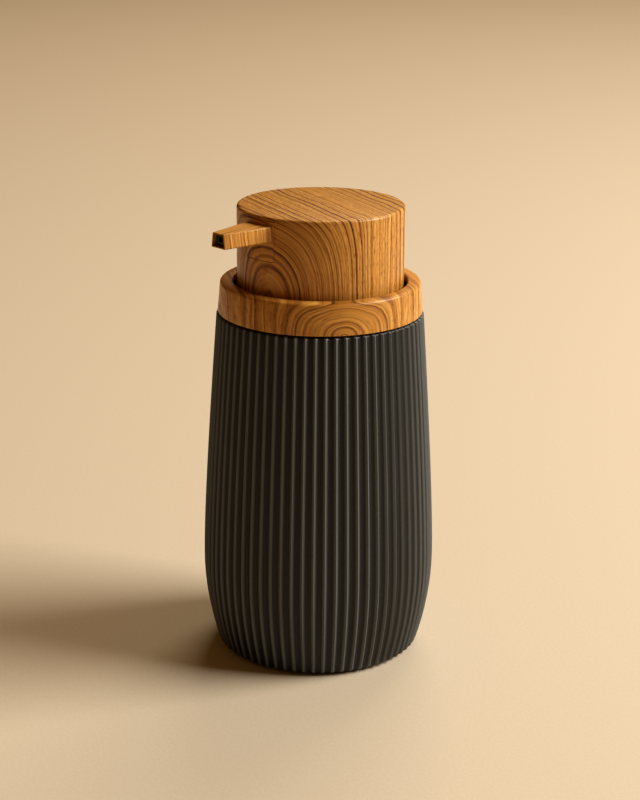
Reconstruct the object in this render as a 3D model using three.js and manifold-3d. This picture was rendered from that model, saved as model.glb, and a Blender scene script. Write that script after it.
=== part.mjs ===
// A countertop soap dispenser: a ribbed stoneware vessel, a threaded collar with a well, and a wide
// wood-look pump head whose short spout stands over the edge. The head slides down into the collar's
// well and works a two-ball lotion pump that hangs in the vessel.
// Millimetres, +Z up along the pump's axis, spout towards -Y, origin in the middle of the base pad's
// underside, which is what the dispenser stands on.
import * as THREE from "three";
import { mergeVertices } from "three/addons/utils/BufferGeometryUtils.js";
import Module from "manifold-3d";

// ---------------------------------------------------------------- driving dimensions
// Fits
const TOUCH = 0.15; // gap between two faces that bear on each other
const SLIP = 0.2; // radial gap of a part pushed into or over another
const RUN = 0.1; // radial gap of a sliding or turning fit
const PAST = 1; // how far a cut runs on past the face it opens

// Vessel
const VESSEL_HEIGHT = 122; // foot to rim
const BELLY_HEIGHT = 34; // widest level, above the table
const BELLY_SWELL = 5; // how far the belly stands out past the rim
const BELLY_SWEEP = 20.4; // how long the side stays upright above the belly
const RIM_LEAN = 0.067; // inward lean of the side where it meets the rim
const RIM_STRAIGHT = 10; // length of that lean
const FOOT_SWEEP = 105; // radius of the tuck from belly to foot
const FOOT_EDGE = 2.2; // rounding under the foot
const RIM_EDGE = 0.7; // rounding of the rim
const RIB_COUNT = 66;
const RIB_DEPTH = 0.9;
const WALL = 3.4;
const FLOOR = 4.5;
const COVE = 3; // slope between the vessel's inside wall and its floor
const CEILING_COVE = 1;
const SHOULDER_THICKNESS = 4;

// Base pad
const PAD_PROUD = 0.6; // how far the pad holds the foot off the table
const PAD_THICKNESS = 1.8;
const FOOT_LAND = 2.8; // width of the foot ring around the pad

// Pump head
const HEAD_RADIUS = 28.8;
const HEAD_WALL = 2;
const HEAD_TOP = 2; // thickness of the top
const HEAD_EDGE = 1; // rounding of the top edge
const SKIRT_BEVEL = 0.6; // inside the head's lower edge
const SKIRT_EASE = 0.4; // outside it
const HEAD_DIP = 2.5; // how deep the skirt sits in the collar at rest
const STROKE = 11.5;
const STOP_CLEARANCE = 0.8; // left below the skirt and the core at the end of the stroke

// Spout
const SPOUT_REACH = 17.8; // past the head's side
const SPOUT_DEPTH = 5; // top to bottom
const SPOUT_DROP = 0.5; // fall from root to tip
const SPOUT_BELOW_TOP = 2.9; // head's top to spout's top
const SPOUT_ROOT_HALF = 6.1;
const SPOUT_TIP_HALF = 2.8;
const SPOUT_FLARE = 0.6; // how much wider each half is at the bottom
const SPOUT_SKIN = 0.75;
const PLATE_MARGIN = 0.65; // plate past the spout's root, each side
const PLATE_DROP = 15; // head's top to the plate's lower edge
const PLATE_TUCK = 1.4; // head's top to the plate's upper edge
const CATCH_THICKNESS = 0.7; // flange behind the head's wall
const CATCH_LAP = 1.3;
const NOZZLE_RECESS = 1.2; // tube's end, in from the spout's end
const NOZZLE_WALL = 0.6;
const NOZZLE_HEAD = 9; // length of the square mouth
const NOZZLE_GRIP = 3; // from the stem's wall to the tube's inner end
const SEAL_SECTION = 0.5;
const SEAL_POCKET = 1.2; // depth of the seal's pocket in the core

// Collar
const COLLAR_HEIGHT = 10.8;
const COLLAR_EDGE = 1;
const COLLAR_DRAFT = 0.9; // wider at the bottom by this radius
const COLLAR_SETBACK = 0.5; // vessel's rim past the collar's foot
const COLLAR_GAP = 0.6; // shadow gap between collar and vessel
const COLLAR_TOP = 2.2; // thickness of the collar's top
const COLLAR_LAND = 4.4; // width of the collar's top face
const WELL_GAP = 1.4; // head to collar
const WELL_WALL = 1.6;
const WEB_THICKNESS = 1.6;
const RIM_GASKET_WIDTH = 1.4;
const RIM_GASKET_HEIGHT = 1.7;

// Neck and closure
const NECK_BORE = 15.8;
const NECK_WALL = 2;
const NECK_SPIGOT = 4.6;
const INSERT_FLANGE = 1.4;
const INSERT_LAP = 4; // flange past the shoulder's hole
const INSERT_SEAL = 0.8;
const GASKET = 1; // neck gasket's thickness
const THREAD_PITCH = 4.2;
const THREAD_TURNS = 1.5;
const THREAD_HEIGHT = 1.1;
const THREAD_ROOT = 1.6;
const THREAD_CREST = 0.8;
const THREAD_CLEARANCE = 0.3;
const THREAD_BURY = 0.3; // how deep a ridge is sunk in its wall
const THREAD_START = 0.15; // share of its height at which a ridge begins
const THREAD_RUNOUT = 1 / 8; // of a turn in which it rises to its full height
const THREAD_LATE = 1 / 3; // of a turn between the neck's thread starting and the closure's
const CAP_WALL = 2;
const CAP_TOP = 1.4;
const CUP_SLEEVE = 1.2; // wall of the cup's inner sleeve
const CUP_SLEEVE_HEIGHT = 3;

// Pump
const BARREL_BORE = 6.9;
const BARREL_WALL = 1.3;
const HOUSING_FLANGE = 1.4;
const CHAPLET_FLANGE = 1.2;
const CHAPLET_GUIDE = 1.4; // height of the wiper's housing
const CHAPLET_SLEEVE = 6.6; // length inside the barrel
const CHAPLET_LAP = 3; // flange past the barrel
const GUIDE_WALL = 1.1;
const GUIDE_DRAFT = 0.3;
const STEM_RADIUS = 4.2;
const STEM_BORE = 2.3;
const STEM_GRIP = 6.9; // length held by the core
const STEM_STOP = 1.3; // thickness of the stop flange
const SPIGOT_RADIUS = 3.3;
const PISTON_HEIGHT = 5;
const PISTON_WAIST = 0.9;
const PISTON_LIP = 1.6; // height of each lip
const LIP_EDGE = 0.6; // width of a lip's bevelled end
const LIP_LEAD = 0.3; // height of that bevel
const WIPER_SECTION = 0.5;
const WIRE = 0.9;
const WIRE_SHY = 0.027; // taken off the wire's radius so that the closed turns stay just apart
const SPRING_RADIUS = 4.95; // to the middle of the wire
const SPRING_TURNS = 8;
const SPRING_SLACK = 2.3; // left between the coils at the end of the stroke
const RETAINER_HEIGHT = 2.5;
const RETAINER_HOLE = 1.6;
const PORT_RADIUS = 0.8; // four ports round the retainer's hole
const PORT_OFFSET = 1.7; // from the hole's edge to the middle of a port
const BALL_RADIUS = 2;
const BALL_SEAT = 1.4;
const BALL_LIFT = 1.2;
const SEAT_THICKNESS = 1.4;
const SEAT_TAPER = 0.8; // length of the taper from the stem's bore to the ball's seat
const VENT_RADIUS = 0.7;
const TUBE_RADIUS = 3.1;
const TUBE_BORE = 2.2;
const TUBE_INSERTION = 13;
const TUBE_OFF_FLOOR = 3;
const CROSS_RISE = 2.15; // stem's top to the middle of the passage across the core
const CORE_WALL = 2.6;
const BOSS_WALL = 2.2; // round the nozzle tube's socket
const BOSS_DROP = 0.5; // boss below the core's flange face
const CORE_WEB = 1.2;
const WEB_INSET = 3; // flange's edge to the end of a web
const CORE_FLANGE = 1.3;
const CORE_FLANGE_RADIUS = 14;
const LOCATING_RING = 1;

// Facets round a circle
const WIDE = 40;
const NARROW = 24;

// ---------------------------------------------------------------- levels and radii that follow
const footZ = PAD_PROUD;
const rimZ = footZ + VESSEL_HEIGHT;
const collarZ = rimZ + COLLAR_GAP;
const collarTopZ = collarZ + COLLAR_HEIGHT;
const skirtZ = collarTopZ - HEAD_DIP;
const wellFloorZ = skirtZ - STROKE - STOP_CLEARANCE;
const webZ = wellFloorZ - WEB_THICKNESS;
const insertTopZ = webZ - 2 * SLIP;
const insertFlangeZ = insertTopZ - INSERT_FLANGE;
const shoulderZ = insertFlangeZ - INSERT_SEAL - 2 * TOUCH;
// The closure's thread runs half a pitch under the neck's and starts just above the insert's flange.
const threadZ = insertTopZ + SLIP + THREAD_ROOT / 2 + THREAD_PITCH * (1 / 2 - THREAD_LATE);
const neckTopZ = threadZ + THREAD_PITCH * THREAD_TURNS + THREAD_ROOT / 2 + 2 * SLIP;
const housingFlangeZ = neckTopZ + GASKET + 2 * TOUCH;
const capPlateZ = housingFlangeZ + HOUSING_FLANGE + TOUCH;
const chapletZ = capPlateZ + CAP_TOP + TOUCH;
const chapletTopZ = chapletZ + CHAPLET_FLANGE + CHAPLET_GUIDE;
const coreZ = chapletTopZ + STROKE + STOP_CLEARANCE;
const stemTopZ = coreZ + STEM_GRIP;
const nozzleZ = stemTopZ + CROSS_RISE; // middle of the spout's passage
const spoutTopZ = nozzleZ + (SPOUT_DEPTH + SPOUT_DROP) / 2;
const spoutBottomZ = spoutTopZ - SPOUT_DEPTH;
const headTopZ = spoutTopZ + SPOUT_BELOW_TOP;
const ceilingZ = headTopZ - HEAD_TOP;

const wellRadius = HEAD_RADIUS + WELL_GAP;
const collarRadius = wellRadius + COLLAR_LAND;
const collarFootRadius = collarRadius + COLLAR_DRAFT;
const rimRadius = collarFootRadius + COLLAR_SETBACK;
const bellyRadius = rimRadius + BELLY_SWELL;
const wellWallInner = wellRadius + SLIP;
const wellWallOuter = wellWallInner + WELL_WALL;
const collarBore = wellWallOuter + 2 * SLIP;
const recessRadius = collarBore + RUN;
const neckRadius = NECK_BORE + NECK_WALL;
const threadBore = neckRadius + THREAD_HEIGHT + THREAD_CLEARANCE;
const capRadius = threadBore + CAP_WALL;
const shoulderHole = neckRadius + THREAD_HEIGHT;
const barrelRadius = BARREL_BORE + BARREL_WALL;

const stemStopTopZ = chapletZ - CHAPLET_SLEEVE - 2 * TOUCH;
const stemStopZ = stemStopTopZ - STEM_STOP;
const pistonTopZ = stemStopZ - TOUCH;
const pistonZ = pistonTopZ - PISTON_HEIGHT;
const springTopZ = pistonZ - TOUCH;
const springLength = STROKE + SPRING_TURNS * WIRE + SPRING_SLACK;
const springZ = springTopZ - springLength;
const retainerTopZ = springZ - TOUCH;
const retainerZ = retainerTopZ - RETAINER_HEIGHT;
const ballRise = Math.sqrt(BALL_RADIUS ** 2 - BALL_SEAT ** 2); // ball's middle above its seat's edge
const pocketDepth = ballRise + BALL_RADIUS + BALL_LIFT + 2 * TOUCH;
const seatZ = retainerZ - TOUCH - pocketDepth;
const socketTopZ = seatZ - 2;
const tubeTopZ = socketTopZ - TOUCH;
const housingZ = tubeTopZ - TUBE_INSERTION;
const floorZ = footZ + PAD_THICKNESS + TOUCH - PAD_PROUD + FLOOR;
const pocketRadius = BALL_RADIUS + 3 * RUN;
const outletSeatZ = stemTopZ - pocketDepth;

const tipY = HEAD_RADIUS + SPOUT_REACH;
const plateAngle = Math.asin((SPOUT_ROOT_HALF + PLATE_MARGIN) / HEAD_RADIUS);

// ---------------------------------------------------------------- geometry helpers
const wasm = await Module();
wasm.setup();

const at = (x, y) => new THREE.Vector2(x, y);

// A closed geometry as a solid that can be joined and cut.
function solid(geometry) {
  const bare = geometry.index ? geometry.toNonIndexed() : geometry.clone();
  bare.deleteAttribute("normal");
  bare.deleteAttribute("uv");
  const merged = mergeVertices(bare, 1e-4);
  return new wasm.Manifold(
    new wasm.Mesh({
      numProp: 3,
      vertProperties: merged.attributes.position.array,
      triVerts: new Uint32Array(merged.index.array),
    }),
  );
}

// A solid back as a three.js geometry.
function geometryOf(body) {
  const mesh = body.getMesh();
  const geometry = new THREE.BufferGeometry();
  geometry.setAttribute("position", new THREE.BufferAttribute(new Float32Array(mesh.vertProperties), 3));
  geometry.setIndex(new THREE.BufferAttribute(new Uint32Array(mesh.triVerts), 1));
  const flat = geometry.toNonIndexed();
  flat.computeVertexNormals();
  return flat;
}

// A profile of (radius, height) points turned about +Z. The points run anticlockwise round the section.
function turned(points, facets = WIDE) {
  return new THREE.LatheGeometry(points, facets).rotateX(Math.PI / 2);
}

// The same, closing the profile on its first point.
function ring(points, facets = WIDE) {
  return turned([...points, points[0]], facets);
}

// A plain tube or, with no bore, a plain disc.
function tube(outer, bore, low, high, facets = NARROW) {
  if (bore === 0) return turned([at(0, low), at(outer, low), at(outer, high), at(0, high)], facets);
  return ring([at(bore, low), at(outer, low), at(outer, high), at(bore, high)], facets);
}

// The points of a round corner, from one angle to another in degrees.
function corner(x, y, radius, from, to, steps = 2) {
  return Array.from({ length: steps + 1 }, (_, i) => {
    const angle = THREE.MathUtils.degToRad(from + ((to - from) * i) / steps);
    return at(x + radius * Math.cos(angle), y + radius * Math.sin(angle));
  });
}

// A skin over rings of points, each ring with as many points, closed by a fan over each end.
function skin(rings) {
  const across = rings[0].length;
  const corners = rings.flat();
  const faces = [];
  for (let i = 0; i + 1 < rings.length; i++) {
    for (let j = 0; j < across; j++) {
      const a = i * across + j;
      const b = i * across + ((j + 1) % across);
      faces.push(a, b, b + across, a, b + across, a + across);
    }
  }
  const last = (rings.length - 1) * across;
  for (let j = 1; j + 1 < across; j++) {
    faces.push(0, j + 1, j);
    faces.push(last, last + j, last + j + 1);
  }
  const geometry = new THREE.BufferGeometry().setFromPoints(corners);
  geometry.setIndex(faces);
  return geometry;
}

// A block whose section runs from one rectangle to another along -Y. Each end gives its distance from
// the axis, its height range and its half widths at the top and at the bottom.
function loft(ends) {
  return skin(
    ends.map(({ y, low, high, topHalf, bottomHalf }) => [
      new THREE.Vector3(bottomHalf, -y, low),
      new THREE.Vector3(topHalf, -y, high),
      new THREE.Vector3(-topHalf, -y, high),
      new THREE.Vector3(-bottomHalf, -y, low),
    ]),
  );
}

// A helical thread ridge that would pass through baseZ straight along +X and starts some turns after
// that. side is 1 for a thread outside its wall and -1 for one inside it.
function threadRidge(wallRadius, baseZ, side, startTurn) {
  const steps = Math.round(THREAD_TURNS * NARROW);
  const first = Math.round(startTurn * NARROW);
  const rings = [];
  for (let i = 0; i <= steps; i++) {
    const turn = (first + i) / NARROW;
    const angle = turn * 2 * Math.PI;
    const fromEnd = Math.min(i, steps - i) / NARROW;
    const height = THREAD_HEIGHT * Math.min(1, THREAD_START + fromEnd / THREAD_RUNOUT);
    const z = baseZ + THREAD_PITCH * turn;
    const section = [
      [-THREAD_BURY, -THREAD_ROOT / 2],
      [height, -THREAD_CREST / 2],
      [height, THREAD_CREST / 2],
      [-THREAD_BURY, THREAD_ROOT / 2],
    ].map(([out, up]) => {
      const radius = wallRadius + side * out;
      return new THREE.Vector3(radius * Math.cos(angle), radius * Math.sin(angle), z + side * up);
    });
    rings.push(section.reverse());
  }
  return skin(rings);
}

// A piece of a ring between two radii, centred on -Y.
function sector(inner, outer, halfAngle, low, high) {
  const shape = new THREE.Shape();
  const middle = -Math.PI / 2;
  shape.absarc(0, 0, outer, middle - halfAngle, middle + halfAngle, false);
  shape.absarc(0, 0, inner, middle + halfAngle, middle - halfAngle, true);
  shape.closePath();
  const upright = { depth: high - low, bevelEnabled: false, curveSegments: 8 };
  return new THREE.ExtrudeGeometry(shape, upright).translate(0, 0, low);
}

// ---------------------------------------------------------------- materials
const finish = (color, roughness, metalness = 0) =>
  new THREE.MeshStandardMaterial({ color, roughness, metalness });
const stoneware = finish(0x32322f, 0.5);
const woodLook = finish(0xa9682c, 0.45);
const blackPlastic = finish(0x1b1a19, 0.4);
const milkyPlastic = finish(0xdfe3e2, 0.35);
const whiteSeal = finish(0xf1f0ea, 0.55);
const blackRubber = finish(0x161616, 0.8);
const steel = finish(0xb9bcc0, 0.25, 1);

const dispenser = new THREE.Group();

function add(name, geometry, material) {
  const mesh = new THREE.Mesh(geometry, material);
  mesh.name = name;
  dispenser.add(mesh);
}

// ---------------------------------------------------------------- vessel
// The outside of the vessel from foot to rim: a small edge, the tuck up to the belly, the long side.
function vesselSide() {
  const tuckX = bellyRadius - FOOT_SWEEP;
  const edgeZ = footZ + FOOT_EDGE;
  const edgeAngle = -Math.asin((BELLY_HEIGHT - edgeZ) / (FOOT_SWEEP - FOOT_EDGE));
  const edgeX = tuckX + (FOOT_SWEEP - FOOT_EDGE) * Math.cos(edgeAngle);
  const foot = new THREE.Path();
  foot.absarc(edgeX, edgeZ, FOOT_EDGE, -Math.PI / 2, edgeAngle, false);
  const tuck = new THREE.Path();
  tuck.absarc(tuckX, BELLY_HEIGHT, FOOT_SWEEP, edgeAngle, 0, false);
  const side = new THREE.CubicBezierCurve(
    at(bellyRadius, BELLY_HEIGHT),
    at(bellyRadius, BELLY_HEIGHT + BELLY_SWEEP),
    at(rimRadius + RIM_LEAN * RIM_STRAIGHT, rimZ - RIM_STRAIGHT),
    at(rimRadius, rimZ - RIM_EDGE),
  );
  return { foot: foot.getPoints(1), tuck: tuck.getPoints(2), side: side.getPoints(5) };
}

function vessel() {
  const { foot, tuck, side } = vesselSide();
  const rimEdge = corner(rimRadius - RIM_EDGE, rimZ - RIM_EDGE, RIM_EDGE, 0, 90, 1);
  const outside = [...foot, ...tuck.slice(1), ...side.slice(1), ...rimEdge.slice(1)];
  const block = turned([at(0, footZ), ...outside, at(0, rimZ)], RIB_COUNT * 2);
  // Every second upright line is a groove. It fades out under the foot and on the rim's top.
  const position = block.attributes.position;
  for (let i = 0; i < position.count; i++) {
    const [x, y, z] = [position.getX(i), position.getY(i), position.getZ(i)];
    const radius = Math.hypot(x, y);
    const line = Math.round((Math.atan2(x, -y) / Math.PI) * RIB_COUNT);
    const onSide = z > footZ + RUN && z < rimZ - RUN;
    if (onSide && line % 2 !== 0) {
      const scale = (radius - RIB_DEPTH) / radius;
      position.setXY(i, x * scale, y * scale);
    }
  }
  const underShoulder = shoulderZ - SHOULDER_THICKNESS;
  const reservoir = (p) => p.y > floorZ + COVE && p.y < underShoulder - COVE;
  const wall = [...tuck, ...side.slice(1)].filter(reservoir);
  const first = wall[0];
  const last = wall[wall.length - 1];
  const cavity = turned([
    at(0, floorZ),
    at(first.x - WALL - COVE, floorZ),
    ...wall.map((p) => at(p.x - WALL, p.y)),
    at(last.x - WALL - CEILING_COVE, underShoulder),
    at(shoulderHole + SLIP, underShoulder),
    at(shoulderHole + SLIP, shoulderZ + PAST),
    at(0, shoulderZ + PAST),
  ]);
  const recess = tube(recessRadius, 0, shoulderZ, rimZ + PAST, WIDE);
  const padRecess = tube(padRadius + SLIP, 0, footZ - PAST, PAD_THICKNESS + TOUCH, WIDE);
  const cuts = [cavity, recess, padRecess].map(solid);
  return geometryOf(cuts.reduce((body, cut) => body.subtract(cut), solid(block)));
}

const footEdge = vesselSide().foot[0];
const padRadius = footEdge.x - FOOT_LAND;
add("vessel", vessel(), stoneware);
add("base_pad", tube(padRadius, 0, 0, PAD_THICKNESS, WIDE), blackRubber);

// ---------------------------------------------------------------- neck insert and its seal
function neckInsert() {
  const spigotRadius = shoulderHole;
  const spigotZ = shoulderZ - NECK_SPIGOT;
  const body = ring([
    at(NECK_BORE, spigotZ),
    at(spigotRadius, spigotZ),
    at(spigotRadius, insertFlangeZ),
    at(shoulderHole + INSERT_LAP, insertFlangeZ),
    at(shoulderHole + INSERT_LAP, insertTopZ),
    at(neckRadius, insertTopZ),
    at(neckRadius, neckTopZ),
    at(NECK_BORE, neckTopZ),
  ]);
  return geometryOf(solid(body).add(solid(threadRidge(neckRadius, threadZ, 1, 0))));
}

add("neck_insert", neckInsert(), blackPlastic);
add(
  "insert_seal",
  tube(
    shoulderHole + INSERT_LAP,
    shoulderHole + SLIP,
    shoulderZ + TOUCH,
    shoulderZ + TOUCH + INSERT_SEAL,
    WIDE,
  ),
  whiteSeal,
);
add(
  "neck_gasket",
  tube(neckRadius, NECK_BORE - RUN, neckTopZ + TOUCH, neckTopZ + TOUCH + GASKET, WIDE),
  whiteSeal,
);

// ---------------------------------------------------------------- closure: cap, cup, collar and gasket
function screwCap() {
  const capTopZ = capPlateZ + CAP_TOP;
  const body = ring([
    at(threadBore, webZ),
    at(capRadius, webZ),
    at(capRadius, capTopZ),
    at(barrelRadius + 2 * SLIP, capTopZ),
    at(barrelRadius + 2 * SLIP, capPlateZ),
    at(threadBore, capPlateZ),
  ]);
  const thread = threadRidge(threadBore, threadZ - THREAD_PITCH / 2, -1, THREAD_LATE);
  return geometryOf(solid(body).add(solid(thread)));
}

// The cup is welded round the cap by its inner sleeve and carries the collar ring on its wall.
function wellCup() {
  const wallTopZ = collarTopZ - COLLAR_TOP - TOUCH;
  const sleeveBore = capRadius + SLIP;
  return ring([
    at(sleeveBore, webZ),
    at(wellWallOuter, webZ),
    at(wellWallOuter, wallTopZ),
    at(wellWallInner, wallTopZ),
    at(wellWallInner, wellFloorZ),
    at(sleeveBore + CUP_SLEEVE, wellFloorZ),
    at(sleeveBore + CUP_SLEEVE, wellFloorZ + CUP_SLEEVE_HEIGHT),
    at(sleeveBore, wellFloorZ + CUP_SLEEVE_HEIGHT),
  ]);
}

const gasketMiddle = (collarBore + collarFootRadius) / 2;
const gasketInner = gasketMiddle - RIM_GASKET_WIDTH / 2;
const gasketOuter = gasketMiddle + RIM_GASKET_WIDTH / 2;

function collarRing() {
  const grooveTopZ = rimZ + TOUCH + RIM_GASKET_HEIGHT + TOUCH;
  const undersideZ = collarTopZ - COLLAR_TOP;
  return ring([
    at(collarBore, collarZ),
    at(gasketInner - RUN, collarZ),
    at(gasketInner - RUN, grooveTopZ),
    at(gasketOuter + RUN, grooveTopZ),
    at(gasketOuter + RUN, collarZ),
    at(collarFootRadius, collarZ),
    ...corner(collarRadius - COLLAR_EDGE, collarTopZ - COLLAR_EDGE, COLLAR_EDGE, 0, 90),
    ...corner(wellRadius + COLLAR_EDGE / 2, collarTopZ - COLLAR_EDGE / 2, COLLAR_EDGE / 2, 90, 180, 1),
    at(wellRadius, undersideZ),
    at(collarBore, undersideZ),
  ]);
}

add("screw_cap", screwCap(), blackPlastic);
add("well_cup", wellCup(), blackPlastic);
add("collar_ring", collarRing(), woodLook);
add(
  "rim_gasket",
  tube(gasketOuter, gasketInner, rimZ + TOUCH, rimZ + TOUCH + RIM_GASKET_HEIGHT, WIDE),
  blackRubber,
);

// ---------------------------------------------------------------- pump housing and dip tube
function pumpHousing() {
  const tailRadius = TUBE_RADIUS + RUN + BARREL_WALL;
  const barrelFloorZ = retainerZ - TOUCH;
  const body = ring(
    [
      at(BALL_SEAT, socketTopZ),
      at(TUBE_RADIUS + RUN, socketTopZ),
      at(TUBE_RADIUS + RUN, housingZ),
      at(tailRadius, housingZ),
      at(tailRadius, seatZ),
      at(barrelRadius, seatZ + BARREL_WALL * 2),
      at(barrelRadius, housingFlangeZ),
      at(NECK_BORE + NECK_WALL / 2, housingFlangeZ),
      at(NECK_BORE + NECK_WALL / 2, housingFlangeZ + HOUSING_FLANGE),
      at(barrelRadius, housingFlangeZ + HOUSING_FLANGE),
      at(barrelRadius, chapletZ - TOUCH),
      at(BARREL_BORE, chapletZ - TOUCH),
      at(BARREL_BORE, barrelFloorZ),
      at(pocketRadius, barrelFloorZ),
      at(pocketRadius, seatZ + (pocketRadius - BALL_SEAT) / 2),
      at(BALL_SEAT, seatZ),
    ],
    NARROW,
  );
  const vent = new THREE.CylinderGeometry(VENT_RADIUS, VENT_RADIUS, BARREL_WALL * 4, 10)
    .rotateZ(Math.PI / 2)
    .translate(barrelRadius, 0, pistonTopZ - PISTON_HEIGHT / 2);
  return geometryOf(solid(body).subtract(solid(vent)));
}

add("pump_housing", pumpHousing(), milkyPlastic);

// The tube's lower end is cut on the slant so that it can't seal against the floor.
function dipTube() {
  const low = floorZ + TUBE_OFF_FLOOR;
  const slant = new THREE.BoxGeometry(TUBE_RADIUS * 6, TUBE_RADIUS * 6, TUBE_RADIUS * 4)
    .translate(0, 0, -TUBE_RADIUS * 2)
    .rotateX(Math.PI / 5)
    .translate(0, 0, low + TUBE_RADIUS);
  return geometryOf(solid(tube(TUBE_RADIUS, TUBE_BORE, low, tubeTopZ, 24)).subtract(solid(slant)));
}

add("dip_tube", dipTube(), milkyPlastic);

// ---------------------------------------------------------------- inlet valve, spring and its seat
// A ball resting on the seat at a level.
function ball(seatLevel) {
  return new THREE.SphereGeometry(BALL_RADIUS - RUN, 12, 8)
    .rotateX(Math.PI / 2)
    .translate(0, 0, seatLevel + ballRise + RUN);
}

add("inlet_ball", ball(seatZ), steel);

function ballRetainer() {
  const body = solid(tube(BARREL_BORE - RUN, 0, retainerZ, retainerTopZ));
  const drill = (radius) => tube(radius, 0, retainerZ - PAST, retainerTopZ + PAST, 12);
  // Four ports round the middle let the soap past while the web between them stops the ball.
  const port = drill(PORT_RADIUS).translate(RETAINER_HOLE + PORT_OFFSET, 0, 0);
  const ports = [0, 1, 2, 3].map((i) => port.clone().rotateZ((i * Math.PI) / 2));
  const cuts = [drill(RETAINER_HOLE), ...ports].map(solid);
  return geometryOf(cuts.reduce((rest, cut) => rest.subtract(cut), body));
}

add("ball_retainer", ballRetainer(), milkyPlastic);

// A compression spring with a closed turn at each end.
function returnSpring() {
  const stepsPerTurn = 12;
  const sides = 5;
  const steps = SPRING_TURNS * stepsPerTurn;
  const wireRadius = WIRE / 2 - WIRE_SHY;
  const openPitch = (springLength - 3 * WIRE) / (SPRING_TURNS - 2);
  const rise = (turns) => {
    if (turns < 1) return turns * WIRE;
    if (turns > SPRING_TURNS - 1) return springLength - WIRE - (SPRING_TURNS - turns) * WIRE;
    return WIRE + (turns - 1) * openPitch;
  };
  const rings = [];
  for (let i = 0; i <= steps; i++) {
    const turns = i / stepsPerTurn;
    const angle = turns * 2 * Math.PI;
    const z = springZ + WIRE / 2 + rise(turns);
    const section = [];
    for (let j = 0; j < sides; j++) {
      const round = (j / sides) * 2 * Math.PI;
      const radius = SPRING_RADIUS + wireRadius * Math.cos(round);
      const height = z + wireRadius * Math.sin(round);
      section.push(new THREE.Vector3(radius * Math.cos(angle), radius * Math.sin(angle), height));
    }
    rings.push(section.reverse());
  }
  return skin(rings);
}

add("return_spring", returnSpring(), steel);

// ---------------------------------------------------------------- piston, stem, chaplet and wiper
function piston() {
  const lip = BARREL_BORE - RUN;
  return ring(
    [
      at(SPIGOT_RADIUS + RUN, pistonZ),
      at(lip - LIP_EDGE, pistonZ),
      at(lip, pistonZ + LIP_LEAD),
      at(lip - PISTON_WAIST, pistonZ + PISTON_LIP),
      at(lip - PISTON_WAIST, pistonTopZ - PISTON_LIP),
      at(lip, pistonTopZ - LIP_LEAD),
      at(lip - LIP_EDGE, pistonTopZ),
      at(SPIGOT_RADIUS + RUN, pistonTopZ),
    ],
    NARROW,
  );
}

function stem() {
  const spigotZ = pistonZ + TOUCH;
  return ring(
    [
      at(BALL_SEAT, spigotZ),
      at(SPIGOT_RADIUS, spigotZ),
      at(SPIGOT_RADIUS, stemStopZ),
      at(BARREL_BORE - 2 * SLIP, stemStopZ),
      at(BARREL_BORE - 2 * SLIP, stemStopTopZ),
      at(STEM_RADIUS, stemStopTopZ),
      at(STEM_RADIUS, stemTopZ),
      at(pocketRadius, stemTopZ),
      at(pocketRadius, outletSeatZ + (pocketRadius - BALL_SEAT) / 2),
      at(BALL_SEAT, outletSeatZ),
      at(BALL_SEAT, outletSeatZ - SEAT_THICKNESS),
      at(STEM_BORE, outletSeatZ - SEAT_THICKNESS - SEAT_TAPER),
      at(STEM_BORE, stemStopTopZ),
      at(BALL_SEAT, stemStopZ),
    ],
    NARROW,
  );
}

const wiperZ = chapletTopZ - WIPER_SECTION - RUN;
const wiperMiddle = STEM_RADIUS + RUN + WIPER_SECTION;

function chaplet() {
  const pocket = wiperMiddle + WIPER_SECTION + RUN;
  return ring(
    [
      at(STEM_RADIUS + RUN, chapletZ - CHAPLET_SLEEVE),
      at(BARREL_BORE - RUN, chapletZ - CHAPLET_SLEEVE),
      at(BARREL_BORE - RUN, chapletZ),
      at(barrelRadius + CHAPLET_LAP, chapletZ),
      at(barrelRadius + CHAPLET_LAP, chapletZ + CHAPLET_FLANGE),
      at(pocket + GUIDE_WALL + GUIDE_DRAFT, chapletZ + CHAPLET_FLANGE),
      at(pocket + GUIDE_WALL, chapletTopZ),
      at(pocket, chapletTopZ),
      at(pocket, wiperZ - WIPER_SECTION - RUN),
      at(STEM_RADIUS + RUN, wiperZ - WIPER_SECTION - RUN),
    ],
    NARROW,
  );
}

add("piston", piston(), whiteSeal);
add("stem", stem(), milkyPlastic);
add("chaplet", chaplet(), blackPlastic);
add("stem_wiper", turned(corner(wiperMiddle, wiperZ, WIPER_SECTION, 0, 360, 6), NARROW), blackRubber);
add("outlet_ball", ball(outletSeatZ), steel);

// ---------------------------------------------------------------- nozzle tube and its seal
const mouthHalf = SPOUT_TIP_HALF - SPOUT_SKIN;
const mouthDepth = (SPOUT_DEPTH - 2 * SPOUT_SKIN) / 2;
const nozzleRadius = Math.min(mouthHalf, mouthDepth) - SLIP;
const nozzleBore = nozzleRadius - NOZZLE_WALL;
const nozzleInnerY = STEM_RADIUS + NOZZLE_GRIP;
const mouthY = tipY - NOZZLE_RECESS;
const bossY = CORE_FLANGE_RADIUS - PAST;

// A tube along -Y, between two distances from the axis, at the spout's level.
function crossTube(outer, bore, from, to, facets = 20) {
  return tube(outer, bore, from, to, facets)
    .rotateX(Math.PI / 2)
    .translate(0, 0, nozzleZ);
}

function nozzleTube() {
  const half = mouthHalf - TOUCH;
  const depth = mouthDepth - TOUCH;
  const mouth = loft(
    [mouthY - NOZZLE_HEAD, mouthY].map((y) => ({
      y,
      low: nozzleZ - depth,
      high: nozzleZ + depth,
      topHalf: half,
      bottomHalf: half,
    })),
  );
  const barrel = crossTube(nozzleRadius, 0, nozzleInnerY, mouthY - NOZZLE_HEAD / 2);
  const bore = crossTube(nozzleBore, 0, nozzleInnerY - PAST, mouthY + PAST);
  return geometryOf(solid(mouth).add(solid(barrel)).subtract(solid(bore)));
}

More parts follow.
